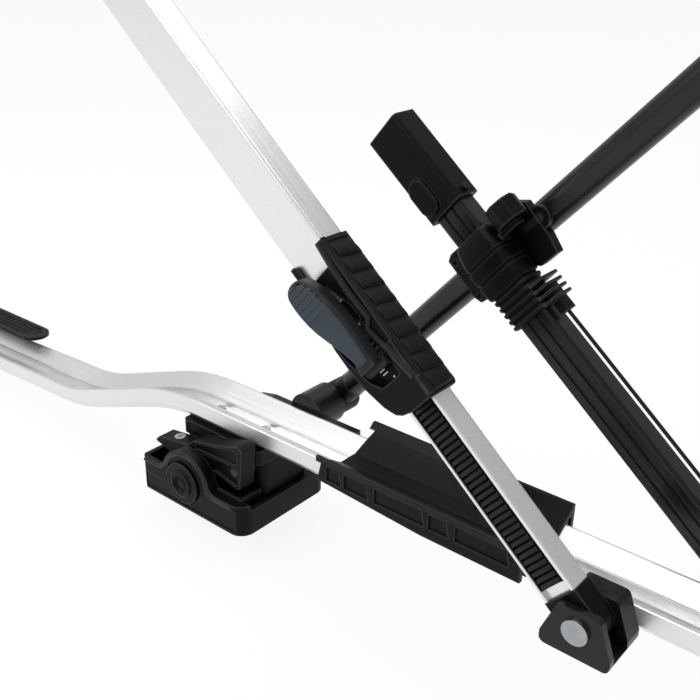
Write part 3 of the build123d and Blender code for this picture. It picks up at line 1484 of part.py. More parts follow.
with BuildPart() as collar_rod:
    with BuildSketch(across(prop_arm, prop_y, collar_start)):
        with Locations((0, rod_thin_v)):
            Circle(rod_thin_radius)
    extrude(amount=-collar_start)
save(collar_rod, "collar_rod")

# Sleeve at the top of the prop with an oval button and a stud
sleeve_outer_v = prop_half + sleeve_wall
sleeve_outer_y = prop_thickness / 2 + sleeve_wall
with BuildPart() as prop_sleeve:
    with BuildSketch(across(prop_arm, prop_y, sleeve_start)):
        RectangleRounded(2 * sleeve_outer_y, 2 * sleeve_outer_v, sleeve_wall)
    extrude(amount=sleeve_end - sleeve_start)
    with BuildSketch(across(prop_arm, prop_y, sleeve_start)):
        Rectangle(prop_thickness + pin_gap, prop_width + pin_gap)
    extrude(amount=prop_end - sleeve_start, mode=Mode.SUBTRACT)
    with BuildSketch(side_of(prop_arm, prop_y - sleeve_outer_y)):
        with Locations((button_u, button_v)):
            SlotOverall(button_length + 2 * seat_gap, button_width + 2 * seat_gap)
    extrude(amount=sleeve_wall - button_skirt / 2, mode=Mode.SUBTRACT)
    with BuildSketch(edge_of(prop_arm, prop_y, sleeve_outer_v)):
        with Locations((sleeve_start + 2 * stud_radius, 0)):
            Circle(stud_radius)
    extrude(amount=stud_height)
save(prop_sleeve, "prop_sleeve")

with BuildPart() as sleeve_button:
    with BuildSketch(side_of(prop_arm, prop_y - sleeve_outer_y - button_height)):
        with Locations((button_u, button_v)):
            SlotOverall(button_length, button_width)
    extrude(amount=button_height + button_skirt)
    fillet(faces().sort_by(Axis.Y)[0].edges(), edge_break)
save(sleeve_button, "sleeve_button")

# Hoop bracket: a pointed plate along the tray with a drum that reaches out to the hoop arm
hoop_near_face = hoop_y - hoop_tube_radius
hoop_far_face = hoop_y + hoop_tube_radius
with BuildPart() as hoop_bracket:
    with BuildSketch(wall_at(tray_half_width)):
        plate_low_edge = pivot_height - hoop_plate_drop
        plate_high_edge = pivot_height + hoop_plate_rise
        outline([
            (-hoop_plate_tip, pivot_height),
            (-hoop_plate_tip - hoop_plate_rise - hoop_plate_drop, plate_high_edge),
            (-hoop_plate_front, plate_high_edge),
            (-hoop_plate_front, plate_low_edge),
            (-hoop_plate_tip - 2 * (hoop_plate_rise + hoop_plate_drop), plate_low_edge),
        ])
    extrude(amount=hoop_plate_thickness)
    with BuildSketch(wall_at(tray_half_width + hoop_plate_thickness / 2)):
        with Locations((-hoop_pivot_x, pivot_height)):
            Circle(hoop_drum_radius)
    extrude(amount=hoop_near_face - side_gap - tray_half_width - hoop_plate_thickness / 2)
    with BuildSketch(wall_at(tray_half_width + hoop_plate_thickness)):
        with Locations((-hoop_pivot_x, pivot_height)):
            Circle(hoop_pin_radius)
    extrude(amount=hoop_far_face, mode=Mode.SUBTRACT)
save(hoop_bracket, "hoop_bracket")

with BuildPart() as hoop_pin:
    with BuildSketch(wall_at(tray_half_width + hoop_plate_thickness)):
        with Locations((-hoop_pivot_x, pivot_height)):
            Circle(hoop_pin_radius)
    extrude(amount=hoop_far_face + side_gap - tray_half_width - hoop_plate_thickness)
    with BuildSketch(wall_at(hoop_far_face + side_gap)):
        with Locations((-hoop_pivot_x, pivot_height)):
            Circle(2 * hoop_pin_radius)
    extrude(amount=pin_flange)
save(hoop_pin, "hoop_pin")

# Hoop arm: a straight tube on an eye
with BuildPart() as hoop_eye:
    with BuildSketch(side_of(hoop_arm, hoop_near_face)):
        Circle(hoop_eye_radius)
    extrude(amount=2 * hoop_tube_radius)
    with BuildSketch(across(hoop_arm, hoop_y, hoop_tube_start)):
        Circle(hoop_tube_radius)
    extrude(amount=hoop_eye_radius)
    with BuildSketch(across(hoop_arm, hoop_y, hoop_tube_start)):
        Circle(hoop_tube_radius - hoop_tube_wall - pin_gap)
    extrude(amount=3 * hoop_eye_radius)
    with BuildSketch(side_of(hoop_arm, hoop_near_face)):
        Circle(hoop_pin_radius + pin_gap)
    extrude(amount=2 * hoop_tube_radius, mode=Mode.SUBTRACT)
save(hoop_eye, "hoop_eye")

with BuildPart() as hoop_tube:
    with BuildSketch(across(hoop_arm, hoop_y, hoop_tube_start + hoop_eye_radius)):
        Circle(hoop_tube_radius)
        Circle(hoop_tube_radius - hoop_tube_wall, mode=Mode.SUBTRACT)
    extrude(amount=hoop_tube_end - hoop_tube_start - hoop_eye_radius)
save(hoop_tube, "hoop_tube")

# Plate on the tube where it crosses the prop
crossing_outline = [
    (crossing_u - crossing_before, -crossing_low + crossing_corner),
    (crossing_u - crossing_before + 2 * crossing_corner, -crossing_low),
    (crossing_u + crossing_after - 4 * crossing_corner, -crossing_low),
    (crossing_u + crossing_after, -crossing_low + 3 * crossing_corner),
    (crossing_u + crossing_after, crossing_high / 2),
    (crossing_u + crossing_after - crossing_corner, crossing_high),
    (crossing_u + crossing_after / 2, crossing_high),
    (crossing_u + crossing_after / 3, crossing_low),
    (crossing_u - crossing_before + 6 * crossing_corner, crossing_low - crossing_corner / 2),
    (crossing_u - crossing_before + crossing_corner, crossing_low - crossing_corner),
    (crossing_u - crossing_before, crossing_high / 2),
]
with BuildPart() as crossing_plate:
    with BuildSketch(side_of(hoop_arm, prop_y + collar_outer_y + seat_gap)):
        outline(crossing_outline)
        with Locations((crossing_u - crossing_slot_u, crossing_slot_v), (crossing_u - crossing_slot_u, -crossing_slot_v)):
            with GridLocations(2 * crossing_slot, 0, 2, 1):
                Rectangle(crossing_slot, crossing_slot, mode=Mode.SUBTRACT)
    extrude(amount=crossing_depth)
    with BuildSketch(across(hoop_arm, hoop_y, crossing_u - 2 * crossing_before)):
        Circle(hoop_tube_radius + pin_gap)
    extrude(amount=4 * crossing_before, mode=Mode.SUBTRACT)
    with BuildSketch(side_of(hoop_arm, hoop_near_face - crossing_boss_rise)):
        with Locations((crossing_u + crossing_boss_u, 0)):
            SlotOverall(crossing_boss_length, crossing_boss_width)
    extrude(amount=crossing_boss_rise + hoop_tube_radius)
    with BuildSketch(side_of(hoop_arm, hoop_near_face - crossing_boss_rise)):
        with Locations((crossing_u + crossing_boss_u, 0)):
            SlotOverall(crossing_boss_length - hoop_tube_radius, crossing_boss_width - hoop_tube_radius)
    extrude(amount=crossing_boss_rise / 2, mode=Mode.SUBTRACT)
    with BuildSketch(across(hoop_arm, hoop_y, crossing_u)):
        Circle(hoop_tube_radius + pin_gap)
    extrude(amount=2 * crossing_before, mode=Mode.SUBTRACT)
save(crossing_plate, "crossing_plate")

# Sleeve joint, bent hoop, rubber pad and end cap in front of the tyre
with BuildPart() as hoop_sleeve:
    with BuildSketch(across(hoop_arm, hoop_y, hoop_tube_end - hoop_sleeve_before)):
        Circle(hoop_sleeve_radius)
    extrude(amount=hoop_sleeve_before + hoop_sleeve_after)
    with BuildSketch(across(hoop_arm, hoop_y, hoop_tube_end - hoop_sleeve_before)):
        Circle(hoop_tube_radius + pin_gap)
    extrude(amount=hoop_sleeve_before, mode=Mode.SUBTRACT)
    with BuildSketch(across(hoop_arm, hoop_y, hoop_tube_end - hoop_sleeve_before)):
        Circle(hoop_rod_radius + pin_gap)
    extrude(amount=2 * hoop_sleeve_before + hoop_sleeve_after, mode=Mode.SUBTRACT)
save(hoop_sleeve, "hoop_sleeve")

with BuildPart() as wheel_hoop:
    with BuildLine(edge_of(hoop_arm, hoop_y, 0)) as hoop_line:
        FilletPolyline(
            (hoop_rod_start, 0),
            (hoop_top, 0),
            (hoop_top, hoop_y - hoop_near_y),
            (hoop_near_u, hoop_y - hoop_near_y),
            radius=hoop_bend,
        )
    with BuildSketch(across(hoop_arm, hoop_y, hoop_rod_start)):
        Circle(hoop_rod_radius)
    sweep()
save(wheel_hoop, "wheel_hoop")

with BuildPart() as hoop_pad:
    with BuildSketch(Plane(origin=point_on(hoop_arm, hoop_top, 0, hoop_pad_near), z_dir=(0, 1, 0))):
        Circle(hoop_pad_radius)
        Circle(hoop_rod_radius + pin_gap, mode=Mode.SUBTRACT)
    extrude(amount=hoop_pad_far - hoop_pad_near)
save(hoop_pad, "hoop_pad")

with BuildPart() as hoop_cap:
    with BuildSketch(across(hoop_arm, hoop_near_y, hoop_near_u - hoop_cap_wall)):
        Circle(hoop_rod_radius + hoop_cap_wall)
    extrude(amount=hoop_cap_length)
    with BuildSketch(across(hoop_arm, hoop_near_y, hoop_near_u)):
        Circle(hoop_rod_radius + pin_gap)
    extrude(amount=hoop_cap_length, mode=Mode.SUBTRACT)
save(hoop_cap, "hoop_cap")

# Rear wheel shoe, which slides along the tray
tray_top = tray_rear_raise + tray_height
shoe_bottom = tray_rear_raise + shoe_low
shoe_top = tray_rear_raise + shoe_high
shoe_inner = tray_half_width + slide_gap
with BuildPart() as wheel_shoe:
    with BuildSketch(section_at(shoe_x + shoe_half_length)):
        outline([
            (shoe_half_width, shoe_bottom),
            (shoe_half_width, shoe_top),
            (shoe_half_width - shoe_rim, shoe_top),
            (shoe_seat_half_width, tray_rear_raise + shoe_seat),
            (-shoe_seat_half_width, tray_rear_raise + shoe_seat),
            (-shoe_half_width + shoe_rim, shoe_top),
            (-shoe_half_width, shoe_top),
            (-shoe_half_width, shoe_bottom),
            (-shoe_inner, shoe_bottom),
            (-shoe_inner, tray_top + slide_gap),
            (shoe_inner, tray_top + slide_gap),
            (shoe_inner, shoe_bottom),
        ])
    extrude(amount=2 * shoe_half_length)
    # Lug that the strap is fixed to
    with BuildSketch(Plane.XY.offset(tray_top + slide_gap)):
        with Locations((shoe_x + shoe_half_length, strap_y)):
            Rectangle(lug_length, strap_width - shoe_rim, align=(Align.MIN, Align.CENTER))
    extrude(amount=strap_lug_height - strap_thickness / 2 - pin_gap - tray_top - slide_gap)
save(wheel_shoe, "wheel_shoe")

# Strap that lies forward over the far half of the tray, with rungs and a rounded slotted tip
strap_start = shoe_x + shoe_half_length
strap_tip = strap_start + strap_reach
strap_length = strap_reach
with BuildPart() as wheel_strap:
    with BuildLine(Plane.XZ):
        FilletPolyline(
            (strap_start, strap_lug_height),
            (strap_start + strap_length / 4, strap_lug_height),
            (strap_start + strap_length / 2, strap_height - strap_sag),
            (strap_tip, strap_height),
            radius=strap_bend_radius,
        )
    with BuildSketch(Plane(origin=(strap_start, strap_y, strap_lug_height), x_dir=(0, -1, 0), z_dir=(1, 0, 0))):
        Rectangle(strap_width, strap_thickness)
    sweep()
    with BuildSketch(Plane.XY.offset(0)):
        with Locations((strap_tip - strap_width / 2, strap_y)):
            Rectangle(strap_width, 2 * strap_width, align=(Align.MIN, Align.CENTER))
            Circle(strap_width / 2, mode=Mode.SUBTRACT)
        with Locations((strap_tip - strap_width / 2, strap_y)):
            SlotOverall(strap_slot_length, strap_slot_width, rotation=90)
    extrude(amount=2 * strap_height, mode=Mode.SUBTRACT)
save(wheel_strap, "wheel_strap")

# Buckle on the near side of the shoe
buckle_face = -shoe_half_width
buckle_outer = buckle_face - buckle_plate
with BuildPart() as buckle_base:
    with BuildSketch(wall_at(buckle_outer)):
        with Locations((-shoe_x, (shoe_bottom + buckle_high) / 2)):
            RectangleRounded(2 * (buckle_half_width + buckle_cheek), buckle_high - shoe_bottom, buckle_cheek)
    extrude(amount=buckle_plate)
    for side in (-1, 1):
        with BuildSketch(section_at(shoe_x + side * (buckle_half_width + buckle_cheek / 2) + buckle_cheek / 2)):
            with Locations((-buckle_outer, buckle_pin_height)):
                Rectangle(buckle_depth, buckle_depth, align=(Align.MIN, Align.CENTER))
        extrude(amount=buckle_cheek)
    with BuildSketch(section_at(shoe_x + buckle_half_width + buckle_cheek)):
        with Locations((-buckle_outer + buckle_depth / 2, buckle_pin_height)):
            Circle(buckle_pin_radius)
    extrude(amount=2 * (buckle_half_width + buckle_cheek))
save(buckle_base, "buckle_base")

with BuildPart() as buckle_lever:
    with BuildSketch(section_at(shoe_x + buckle_half_width - seat_gap)):
        with Locations((-buckle_outer + buckle_depth / 2, buckle_pin_height)):
            Circle(buckle_depth / 2 - seat_gap)
            Rectangle(buckle_lever_thickness / 2, buckle_lever_length, align=(Align.MIN, Align.MIN))
            Circle(buckle_pin_radius + pin_gap, mode=Mode.SUBTRACT)
    extrude(amount=2 * (buckle_half_width - seat_gap))
save(buckle_lever, "buckle_lever")
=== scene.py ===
import json
import math

import bmesh
import bpy
from mathutils import Matrix, Vector


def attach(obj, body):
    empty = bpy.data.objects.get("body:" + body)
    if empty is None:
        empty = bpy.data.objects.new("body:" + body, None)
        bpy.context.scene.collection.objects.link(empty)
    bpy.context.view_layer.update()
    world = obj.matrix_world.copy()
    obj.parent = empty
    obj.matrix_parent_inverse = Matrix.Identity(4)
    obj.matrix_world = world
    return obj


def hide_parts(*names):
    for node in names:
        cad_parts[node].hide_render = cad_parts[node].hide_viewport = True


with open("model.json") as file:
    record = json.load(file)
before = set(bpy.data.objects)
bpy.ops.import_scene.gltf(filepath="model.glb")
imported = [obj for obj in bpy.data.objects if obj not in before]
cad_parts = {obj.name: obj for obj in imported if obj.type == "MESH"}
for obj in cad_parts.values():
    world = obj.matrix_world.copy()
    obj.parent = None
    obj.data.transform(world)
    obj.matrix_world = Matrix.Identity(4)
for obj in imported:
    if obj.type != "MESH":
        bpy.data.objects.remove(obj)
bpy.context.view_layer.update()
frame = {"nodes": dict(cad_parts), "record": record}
nodes = frame["nodes"]
scene = bpy.context.scene
mm = 0.001
print("frame loaded", len(nodes), "nodes")


# camera, floor and light

shot = {
    "place": (0.6134, -0.5693, 0.5432),
    "right": (0.766510, 0.642049, 0.015339),
    "down": (0.282365, -0.315457, -0.905957),
    "ahead": (-0.576830, 0.698756, -0.423093),
    "lens": 49.41,
    "sensor": 36,
    "clip": (0.02, 60),
}


def makeCamera(look):
    data = bpy.data.cameras.new("photoCamera")
    data.lens = look["lens"]
    data.sensor_width = look["sensor"]
    data.clip_start, data.clip_end = look["clip"]
    camera = bpy.data.objects.new("photoCamera", data)
    scene.collection.objects.link(camera)
    columns = [Vector(look["right"]), -Vector(look["down"]), -Vector(look["ahead"]), Vector(look["place"])]
    turned = Matrix.Identity(4)
    for row in range(3):
        for column in range(4):
            turned[row][column] = columns[column][row]
    camera.matrix_world = turned
    scene.camera = camera


makeCamera(shot)
scene.view_settings.view_transform = "Standard"


def linearColour(code):  # sRGB hex to the linear values that nodes take
    parts = [int(code[i:i + 2], 16) / 255 for i in (0, 2, 4)]
    return tuple(c / 12.92 if c <= 0.04045 else ((c + 0.055) / 1.055) ** 2.4 for c in parts) + (1.0,)


def addNode(tree, kind, settings=None, **links):
    node = tree.nodes.new(kind)
    for key, value in (settings or {}).items():
        if key in node.inputs:
            node.inputs[key].default_value = value
        else:
            setattr(node, key, value)
    for key, source in links.items():  # n0 and n1 are sockets by number, the rest go by name
        socket = int(key[1:]) if key[0] == "n" and key[1:].isdigit() else key.replace("_", " ")
        tree.links.new(source, node.inputs[socket])
    return node


def mixTones(tree, source, dark, pale):  # a colour between two hex tones, or from one socket to a hex tone
    tone = addNode(tree, "ShaderNodeMix", {"data_type": "RGBA"})
    tree.links.new(source, tone.inputs["Factor"])
    for place, value in ((6, dark), (7, pale)):
        if isinstance(value, str):
            tone.inputs[place].default_value = linearColour(value)
        else:
            tree.links.new(value, tone.inputs[place])
    return tone.outputs[2]


def newMaterial(name):
    material = bpy.data.materials.new(name)
    material.use_nodes = True
    material.node_tree.nodes.clear()
    return material, material.node_tree


studio = {
    "size": 30, "drop": 0.0262, "white": "f4f5f6", "show": 0.9,
    "sky": "ffffff", "side": "d2d2d2", "fade": (-0.1, 0.95), "strength": 0.62,
}


def makeFloor(look):
    bm = bmesh.new()
    bmesh.ops.create_grid(bm, x_segments=1, y_segments=1, size=look["size"] / 2)
    bmesh.ops.translate(bm, verts=bm.verts, vec=(0, 0, -look["drop"]))
    mesh = bpy.data.meshes.new("studioFloor")
    bm.to_mesh(mesh)
    bm.free()
    floor = bpy.data.objects.new("studioFloor", mesh)
    scene.collection.objects.link(floor)
    material, tree = newMaterial("paleStudioPaint")
    paint = addNode(tree, "ShaderNodeBsdfDiffuse", {"Color": linearColour(look["white"])})
    glow = addNode(tree, "ShaderNodeEmission", {"Color": (1, 1, 1, 1), "Strength": 1.0})
    rays = addNode(tree, "ShaderNodeLightPath")
    seen = rays.outputs["Is Camera Ray"]
    for kind in ("Is Glossy Ray", "Is Transmission Ray"):
        seen = addNode(tree, "ShaderNodeMath", {"operation": "MAXIMUM"}, n0=seen, n1=rays.outputs[kind]).outputs[0]
    share = addNode(tree, "ShaderNodeMath", {"operation": "MULTIPLY"}, n0=seen)
    share.inputs[1].default_value = look["show"]
    both = addNode(tree, "ShaderNodeMixShader", {}, n0=share.outputs[0], n1=paint.outputs[0], n2=glow.outputs[0])
    addNode(tree, "ShaderNodeOutputMaterial", {}, Surface=both.outputs[0])
    mesh.materials.append(material)


makeFloor(studio)


def makeWorld(look):  # a soft room, pale above and on the left, greyer behind the arms
    world = bpy.data.worlds.new("softRoom")
    world.use_nodes = True
    tree = world.node_tree
    tree.nodes.clear()
    place = addNode(tree, "ShaderNodeTexCoord")
    parts = addNode(tree, "ShaderNodeSeparateXYZ", {}, Vector=place.outputs["Generated"])
    ramp = addNode(tree, "ShaderNodeMapRange", {"From Min": look["fade"][0], "From Max": look["fade"][1],
                                                "To Min": 1.0, "To Max": 0.0}, Value=parts.outputs["X"])
    colour = mixTones(tree, ramp.outputs[0], look["side"], look["sky"])
    back = addNode(tree, "ShaderNodeBackground", {"Strength": look["strength"]}, Color=colour)
    addNode(tree, "ShaderNodeOutputWorld", {}, Surface=back.outputs[0])
    scene.world = world


makeWorld(studio)

lamps = [
    {"name": "keyLamp", "place": (-0.9, -1.7, 1.9), "aim": (0.1, 0, 0.15), "size": 1.6, "power": 34},
    {"name": "topLamp", "place": (-0.3, 0.5, 2.4), "aim": (0, 0, 0.1), "size": 2.0, "power": 26},
]


def makeLamp(look):
    data = bpy.data.lights.new(look["name"], "AREA")
    data.shape = "SQUARE"
    data.size = look["size"]
    data.energy = look["power"]
    lamp = bpy.data.objects.new(look["name"], data)
    scene.collection.objects.link(lamp)
    lamp.location = look["place"]
    ahead = Vector(look["aim"]) - Vector(look["place"])
    lamp.rotation_euler = ahead.to_track_quat("-Z", "Y").to_euler()


for lampLook in lamps:
    makeLamp(lampLook)
print("stage and light ready")


# materials

noiseBand = {"From Min": 0.3, "From Max": 0.7}  # where most of a noise texture's values lie


def roughFrom(tree, source, middle, less, more):  # roughness that follows a texture round its middle value
    span = {"To Min": middle - less, "To Max": middle + more}
    return addNode(tree, "ShaderNodeMapRange", {**noiseBand, **span}, Value=source).outputs[0]


def anodisedAluminium(name, look):
    # extruded bar, etched and anodised clear or black: a silky metal with faint die lines along it
    material, tree = newMaterial(name)
    place = addNode(tree, "ShaderNodeTexCoord")
    along = addNode(tree, "ShaderNodeMapping", {"vector_type": "TEXTURE"}, Vector=place.outputs["Object"])
    along.inputs["Rotation"].default_value = (0, look["turn"], 0)
    along.inputs["Scale"].default_value = (look["run"] * mm, look["line"] * mm, look["line"] * mm)
    lines = addNode(tree, "ShaderNodeTexNoise", {"Scale": 1.0, "Detail": 3.0, "Roughness": 0.6},
                    Vector=along.outputs[0])
    grit = addNode(tree, "ShaderNodeTexNoise", {"Scale": 1 / (look["grit"] * mm), "Detail": 2.0},
                   Vector=place.outputs["Object"])
    shine = roughFrom(tree, lines.outputs[0], look["rough"], 0.05, 0.06)
    soft = addNode(tree, "ShaderNodeBevel", {"samples": 4, "Radius": 1.2 * mm})
    bumpLines = addNode(tree, "ShaderNodeBump", {"Strength": 0.08, "Distance": 0.05 * mm}, Height=lines.outputs[0],
                        Normal=soft.outputs[0])
    bumpGrit = addNode(tree, "ShaderNodeBump", {"Strength": look["bite"], "Distance": 0.04 * mm},
                       Height=grit.outputs[0], Normal=bumpLines.outputs[0])
    tone = mixTones(tree, lines.outputs[0], look["dark"], look["pale"])
    body = addNode(tree, "ShaderNodeBsdfPrincipled", {"Metallic": look["metal"]}, Base_Color=tone,
                   Roughness=shine, Normal=bumpGrit.outputs[0])
    addNode(tree, "ShaderNodeOutputMaterial", {}, Surface=body.outputs[0])
    return material


def mouldedPlastic(name, look):
    # injection moulded glass-filled nylon from an eroded mould: a fine even grain that breaks up the shine,
    # and a painted highlight that makes the convex edges paler
    material, tree = newMaterial(name)
    place = addNode(tree, "ShaderNodeTexCoord")
    grain = addNode(tree, "ShaderNodeTexNoise", {"Scale": 1 / (look["grain"] * mm), "Detail": 3.0, "Roughness": 0.6},
                    Vector=place.outputs["Object"])
    flow = addNode(tree, "ShaderNodeTexNoise", {"Scale": 1 / (look["flow"] * mm), "Detail": 2.0},
                   Vector=place.outputs["Object"])
    soft = addNode(tree, "ShaderNodeBevel", {"samples": 4, "Radius": look["edge"] * mm})
    bump = addNode(tree, "ShaderNodeBump", {"Strength": look["bump"], "Distance": 0.06 * mm}, Height=grain.outputs[0],
                   Normal=soft.outputs[0])
    shine = roughFrom(tree, flow.outputs[0], look["rough"], 0.05, 0.07)
    tone = mixTones(tree, flow.outputs[0], look["dark"], look["pale"])
    # painted highlight: an inside AO mask finds convex edges and mixes the paler edge colour in there
    inside = addNode(tree, "ShaderNodeAmbientOcclusion", {"samples": 4, "inside": True, "Distance": look["paintedHighlightReach"] * mm})
    paintedEdgeHighlight = addNode(tree, "ShaderNodeMapRange", {"From Min": 0.92, "From Max": 0.5, "To Min": 0.0, "To Max": 1.0},
                   Value=inside.outputs["AO"])
    paintedHighlightTone = mixTones(tree, paintedEdgeHighlight.outputs[0], tone, look["paintedEdgeHighlight"])
    body = addNode(tree, "ShaderNodeBsdfPrincipled", {"IOR": 1.5, "Specular IOR Level": look["gloss"]},
                   Base_Color=paintedHighlightTone, Roughness=shine, Normal=bump.outputs[0])
    addNode(tree, "ShaderNodeOutputMaterial", {}, Surface=body.outputs[0])
    return material


def platedSteel(name, look):
    # turned or pressed steel, zinc plated or black coated: small uneven crystals and a soft mirror
    material, tree = newMaterial(name)
    place = addNode(tree, "ShaderNodeTexCoord")
    crystals = addNode(tree, "ShaderNodeTexVoronoi", {"Scale": 1 / (look["grain"] * mm)},
                       Vector=place.outputs["Object"])
    clouds = addNode(tree, "ShaderNodeTexNoise", {"Scale": 1 / (look["flow"] * mm), "Detail": 4.0},
                     Vector=place.outputs["Object"])
    shine = roughFrom(tree, clouds.outputs[0], look["rough"], 0.06, 0.08)
    soft = addNode(tree, "ShaderNodeBevel", {"samples": 4, "Radius": 0.3 * mm})
    bump = addNode(tree, "ShaderNodeBump", {"Strength": 0.08, "Distance": 0.03 * mm},
                   Height=crystals.outputs["Distance"], Normal=soft.outputs[0])
    tone = mixTones(tree, clouds.outputs[0], look["dark"], look["pale"])
    body = addNode(tree, "ShaderNodeBsdfPrincipled", {"Metallic": look["metal"], "Specular IOR Level": look["gloss"]},
                   Base_Color=tone, Roughness=shine, Normal=bump.outputs[0])
    addNode(tree, "ShaderNodeOutputMaterial", {}, Surface=body.outputs[0])
    return material


arms = {  # pivot in millimetres and lean in degrees of each arm, along which its pieces are shaped
    "near": {"x": 408, "z": 95, "lean": 40.5},
    "prop": {"x": 488, "z": 95, "lean": 39.5},
    "hoop": {"x": 64, "z": 95, "lean": 132.1},
}
armTurn = math.radians(arms["near"]["lean"])
hoopTurn = math.radians(arms["hoop"]["lean"])
# in each moulded plastic below, the paler edge colour and its reach in millimetres make a painted highlight along
# convex edges
finishes = {
    "tray_aluminium": anodisedAluminium("clearAnodisedTray", {
        "turn": 0, "run": 400, "line": 1.4, "grit": 0.7, "rough": 0.34, "dark": "dededf", "pale": "ebebeb",
        "metal": 0.85, "bite": 0.045}),
    "arm_aluminium": anodisedAluminium("clearAnodisedArm", {
        "turn": armTurn, "run": 300, "line": 1.2, "grit": 0.7, "rough": 0.3, "dark": "e2e2e2", "pale": "eeeeee",
        "metal": 0.85, "bite": 0.045}),
    "black_aluminium": anodisedAluminium("blackAnodisedArm", {
        "turn": armTurn, "run": 300, "line": 1.2, "grit": 0.7, "rough": 0.26, "dark": "070708", "pale": "0b0b0c",
        "metal": 0.2, "bite": 0.02}),
    "black_plastic": mouldedPlastic("grainedNylon", {
        "grain": 0.9, "flow": 30, "edge": 1.0, "bump": 0.22, "rough": 0.42, "dark": "070708", "pale": "0c0c0d",
        "gloss": 0.11, "paintedHighlightReach": 1.7, "paintedEdgeHighlight": "3c3d3f"}),
    "liner_plastic": mouldedPlastic("cradlePolypropylene", {
        "grain": 1.1, "flow": 40, "edge": 1.0, "bump": 0.18, "rough": 0.4, "dark": "09090a", "pale": "0e0e10",
        "gloss": 0.12, "paintedHighlightReach": 1.4, "paintedEdgeHighlight": "3c3d40"}),
    "strip_plastic": mouldedPlastic("smoothAcetalStrip", {
        "grain": 0.8, "flow": 25, "edge": 0.5, "bump": 0.1, "rough": 0.34, "dark": "151516", "pale": "1c1c1e",
        "gloss": 0.16, "paintedHighlightReach": 0.5, "paintedEdgeHighlight": "3a3b3d"}),
    "lever_plastic": mouldedPlastic("blueGreyNylon", {
        "grain": 0.8, "flow": 25, "edge": 0.8, "bump": 0.12, "rough": 0.4, "dark": "333c42", "pale": "3b454b",
        "gloss": 0.12, "paintedHighlightReach": 0.35, "paintedEdgeHighlight": "4a555c"}),
    "black_rubber": mouldedPlastic("matteRubber", {
        "grain": 0.7, "flow": 20, "edge": 0.8, "bump": 0.3, "rough": 0.6, "dark": "0e0e0f", "pale": "141415",
        "gloss": 0.12, "paintedHighlightReach": 1.2, "paintedEdgeHighlight": "323335"}),
    "strap_plastic": mouldedPlastic("softStrapPlastic", {
        "grain": 0.8, "flow": 30, "edge": 0.5, "bump": 0.15, "rough": 0.42, "dark": "0c0c0d", "pale": "121213",
        "gloss": 0.15, "paintedHighlightReach": 0.9, "paintedEdgeHighlight": "3a3b3d"}),
    "bare_steel": platedSteel("zincPlatedSteel", {
        "grain": 0.8, "flow": 6, "rough": 0.3, "dark": "8f9296", "pale": "b4b6b9", "metal": 1.0, "gloss": 0.5}),
    "black_steel": platedSteel("blackCoatedSteel", {
        "grain": 0.7, "flow": 12, "rough": 0.32, "dark": "0c0c0d", "pale": "131315", "metal": 0.0, "gloss": 0.3}),
    "lock_metal": platedSteel("nickelLock", {
        "grain": 0.6, "flow": 4, "rough": 0.24, "dark": "9c9fa3", "pale": "c9cbce", "metal": 1.0, "gloss": 0.5}),
}
hoopBlack = anodisedAluminium("blackAnodisedHoop", {
    "turn": hoopTurn, "run": 300, "line": 1.2, "grit": 0.7, "rough": 0.26, "dark": "070708", "pale": "0b0b0c",
    "metal": 0.2, "bite": 0.02})
# the paler edge colours of these plastics are painted highlights along convex edges as well
leverRim = mouldedPlastic("leverRimNylon", {
    "grain": 0.8, "flow": 25, "edge": 1.0, "bump": 0.12, "rough": 0.42, "dark": "232425", "pale": "292a2c",
    "gloss": 0.14, "paintedHighlightReach": 0.9, "paintedEdgeHighlight": "3e4042"})
# a darker copy of the strip's plastic: painted shade for the floor and frame between the bars
paintedShadeBed = mouldedPlastic("stripBedPaintedShade", {
    "grain": 0.8, "flow": 25, "edge": 0.3, "bump": 0.1, "rough": 0.5, "dark": "030303", "pale": "050505",
    "gloss": 0.05, "paintedHighlightReach": 0.2, "paintedEdgeHighlight": "0a0a0a"})
beadNylon = mouldedPlastic("smoothBeadNylon", {
    "grain": 0.9, "flow": 30, "edge": 0.8, "bump": 0.12, "rough": 0.34, "dark": "0f0f10", "pale": "161617",
    "gloss": 0.3, "paintedHighlightReach": 0.2, "paintedEdgeHighlight": "2c2d2f"})
gripRubber = mouldedPlastic("softGripRubber", {
    "grain": 0.7, "flow": 18, "edge": 0.6, "bump": 0.3, "rough": 0.55, "dark": "151516", "pale": "1c1c1d",
    "gloss": 0.12, "paintedHighlightReach": 0.9, "paintedEdgeHighlight": "343536"})

slotOf = {part["node"]: part["material_slot"] for part in frame["record"].get("subparts", [])}
ownFinish = {"hoop_tube": hoopBlack, "wheel_hoop": hoopBlack, "ratchet_lever": leverRim}
for nodeName, nodeObject in nodes.items():
    finish = ownFinish.get(nodeName, finishes[slotOf[nodeName]])
    for place in range(len(nodeObject.material_slots)):
        nodeObject.material_slots[place].material = finish
print("materials set")


# shaping tools for the new pieces

mergeGap = 0.01
slack = 0.1  # millimetres of play when vertices and edges are picked by their place


def armMatrix(name):  # millimetres along, beside and above an arm, to metres in the shared frame
    arm = arms[name]
    lean = math.radians(arm["lean"])
    return Matrix((
        (-math.cos(lean) * mm, 0, math.sin(lean) * mm, arm["x"] * mm),
        (0, mm, 0, 0),
        (math.sin(lean) * mm, 0, math.cos(lean) * mm, arm["z"] * mm),
        (0, 0, 0, 1),
    ))


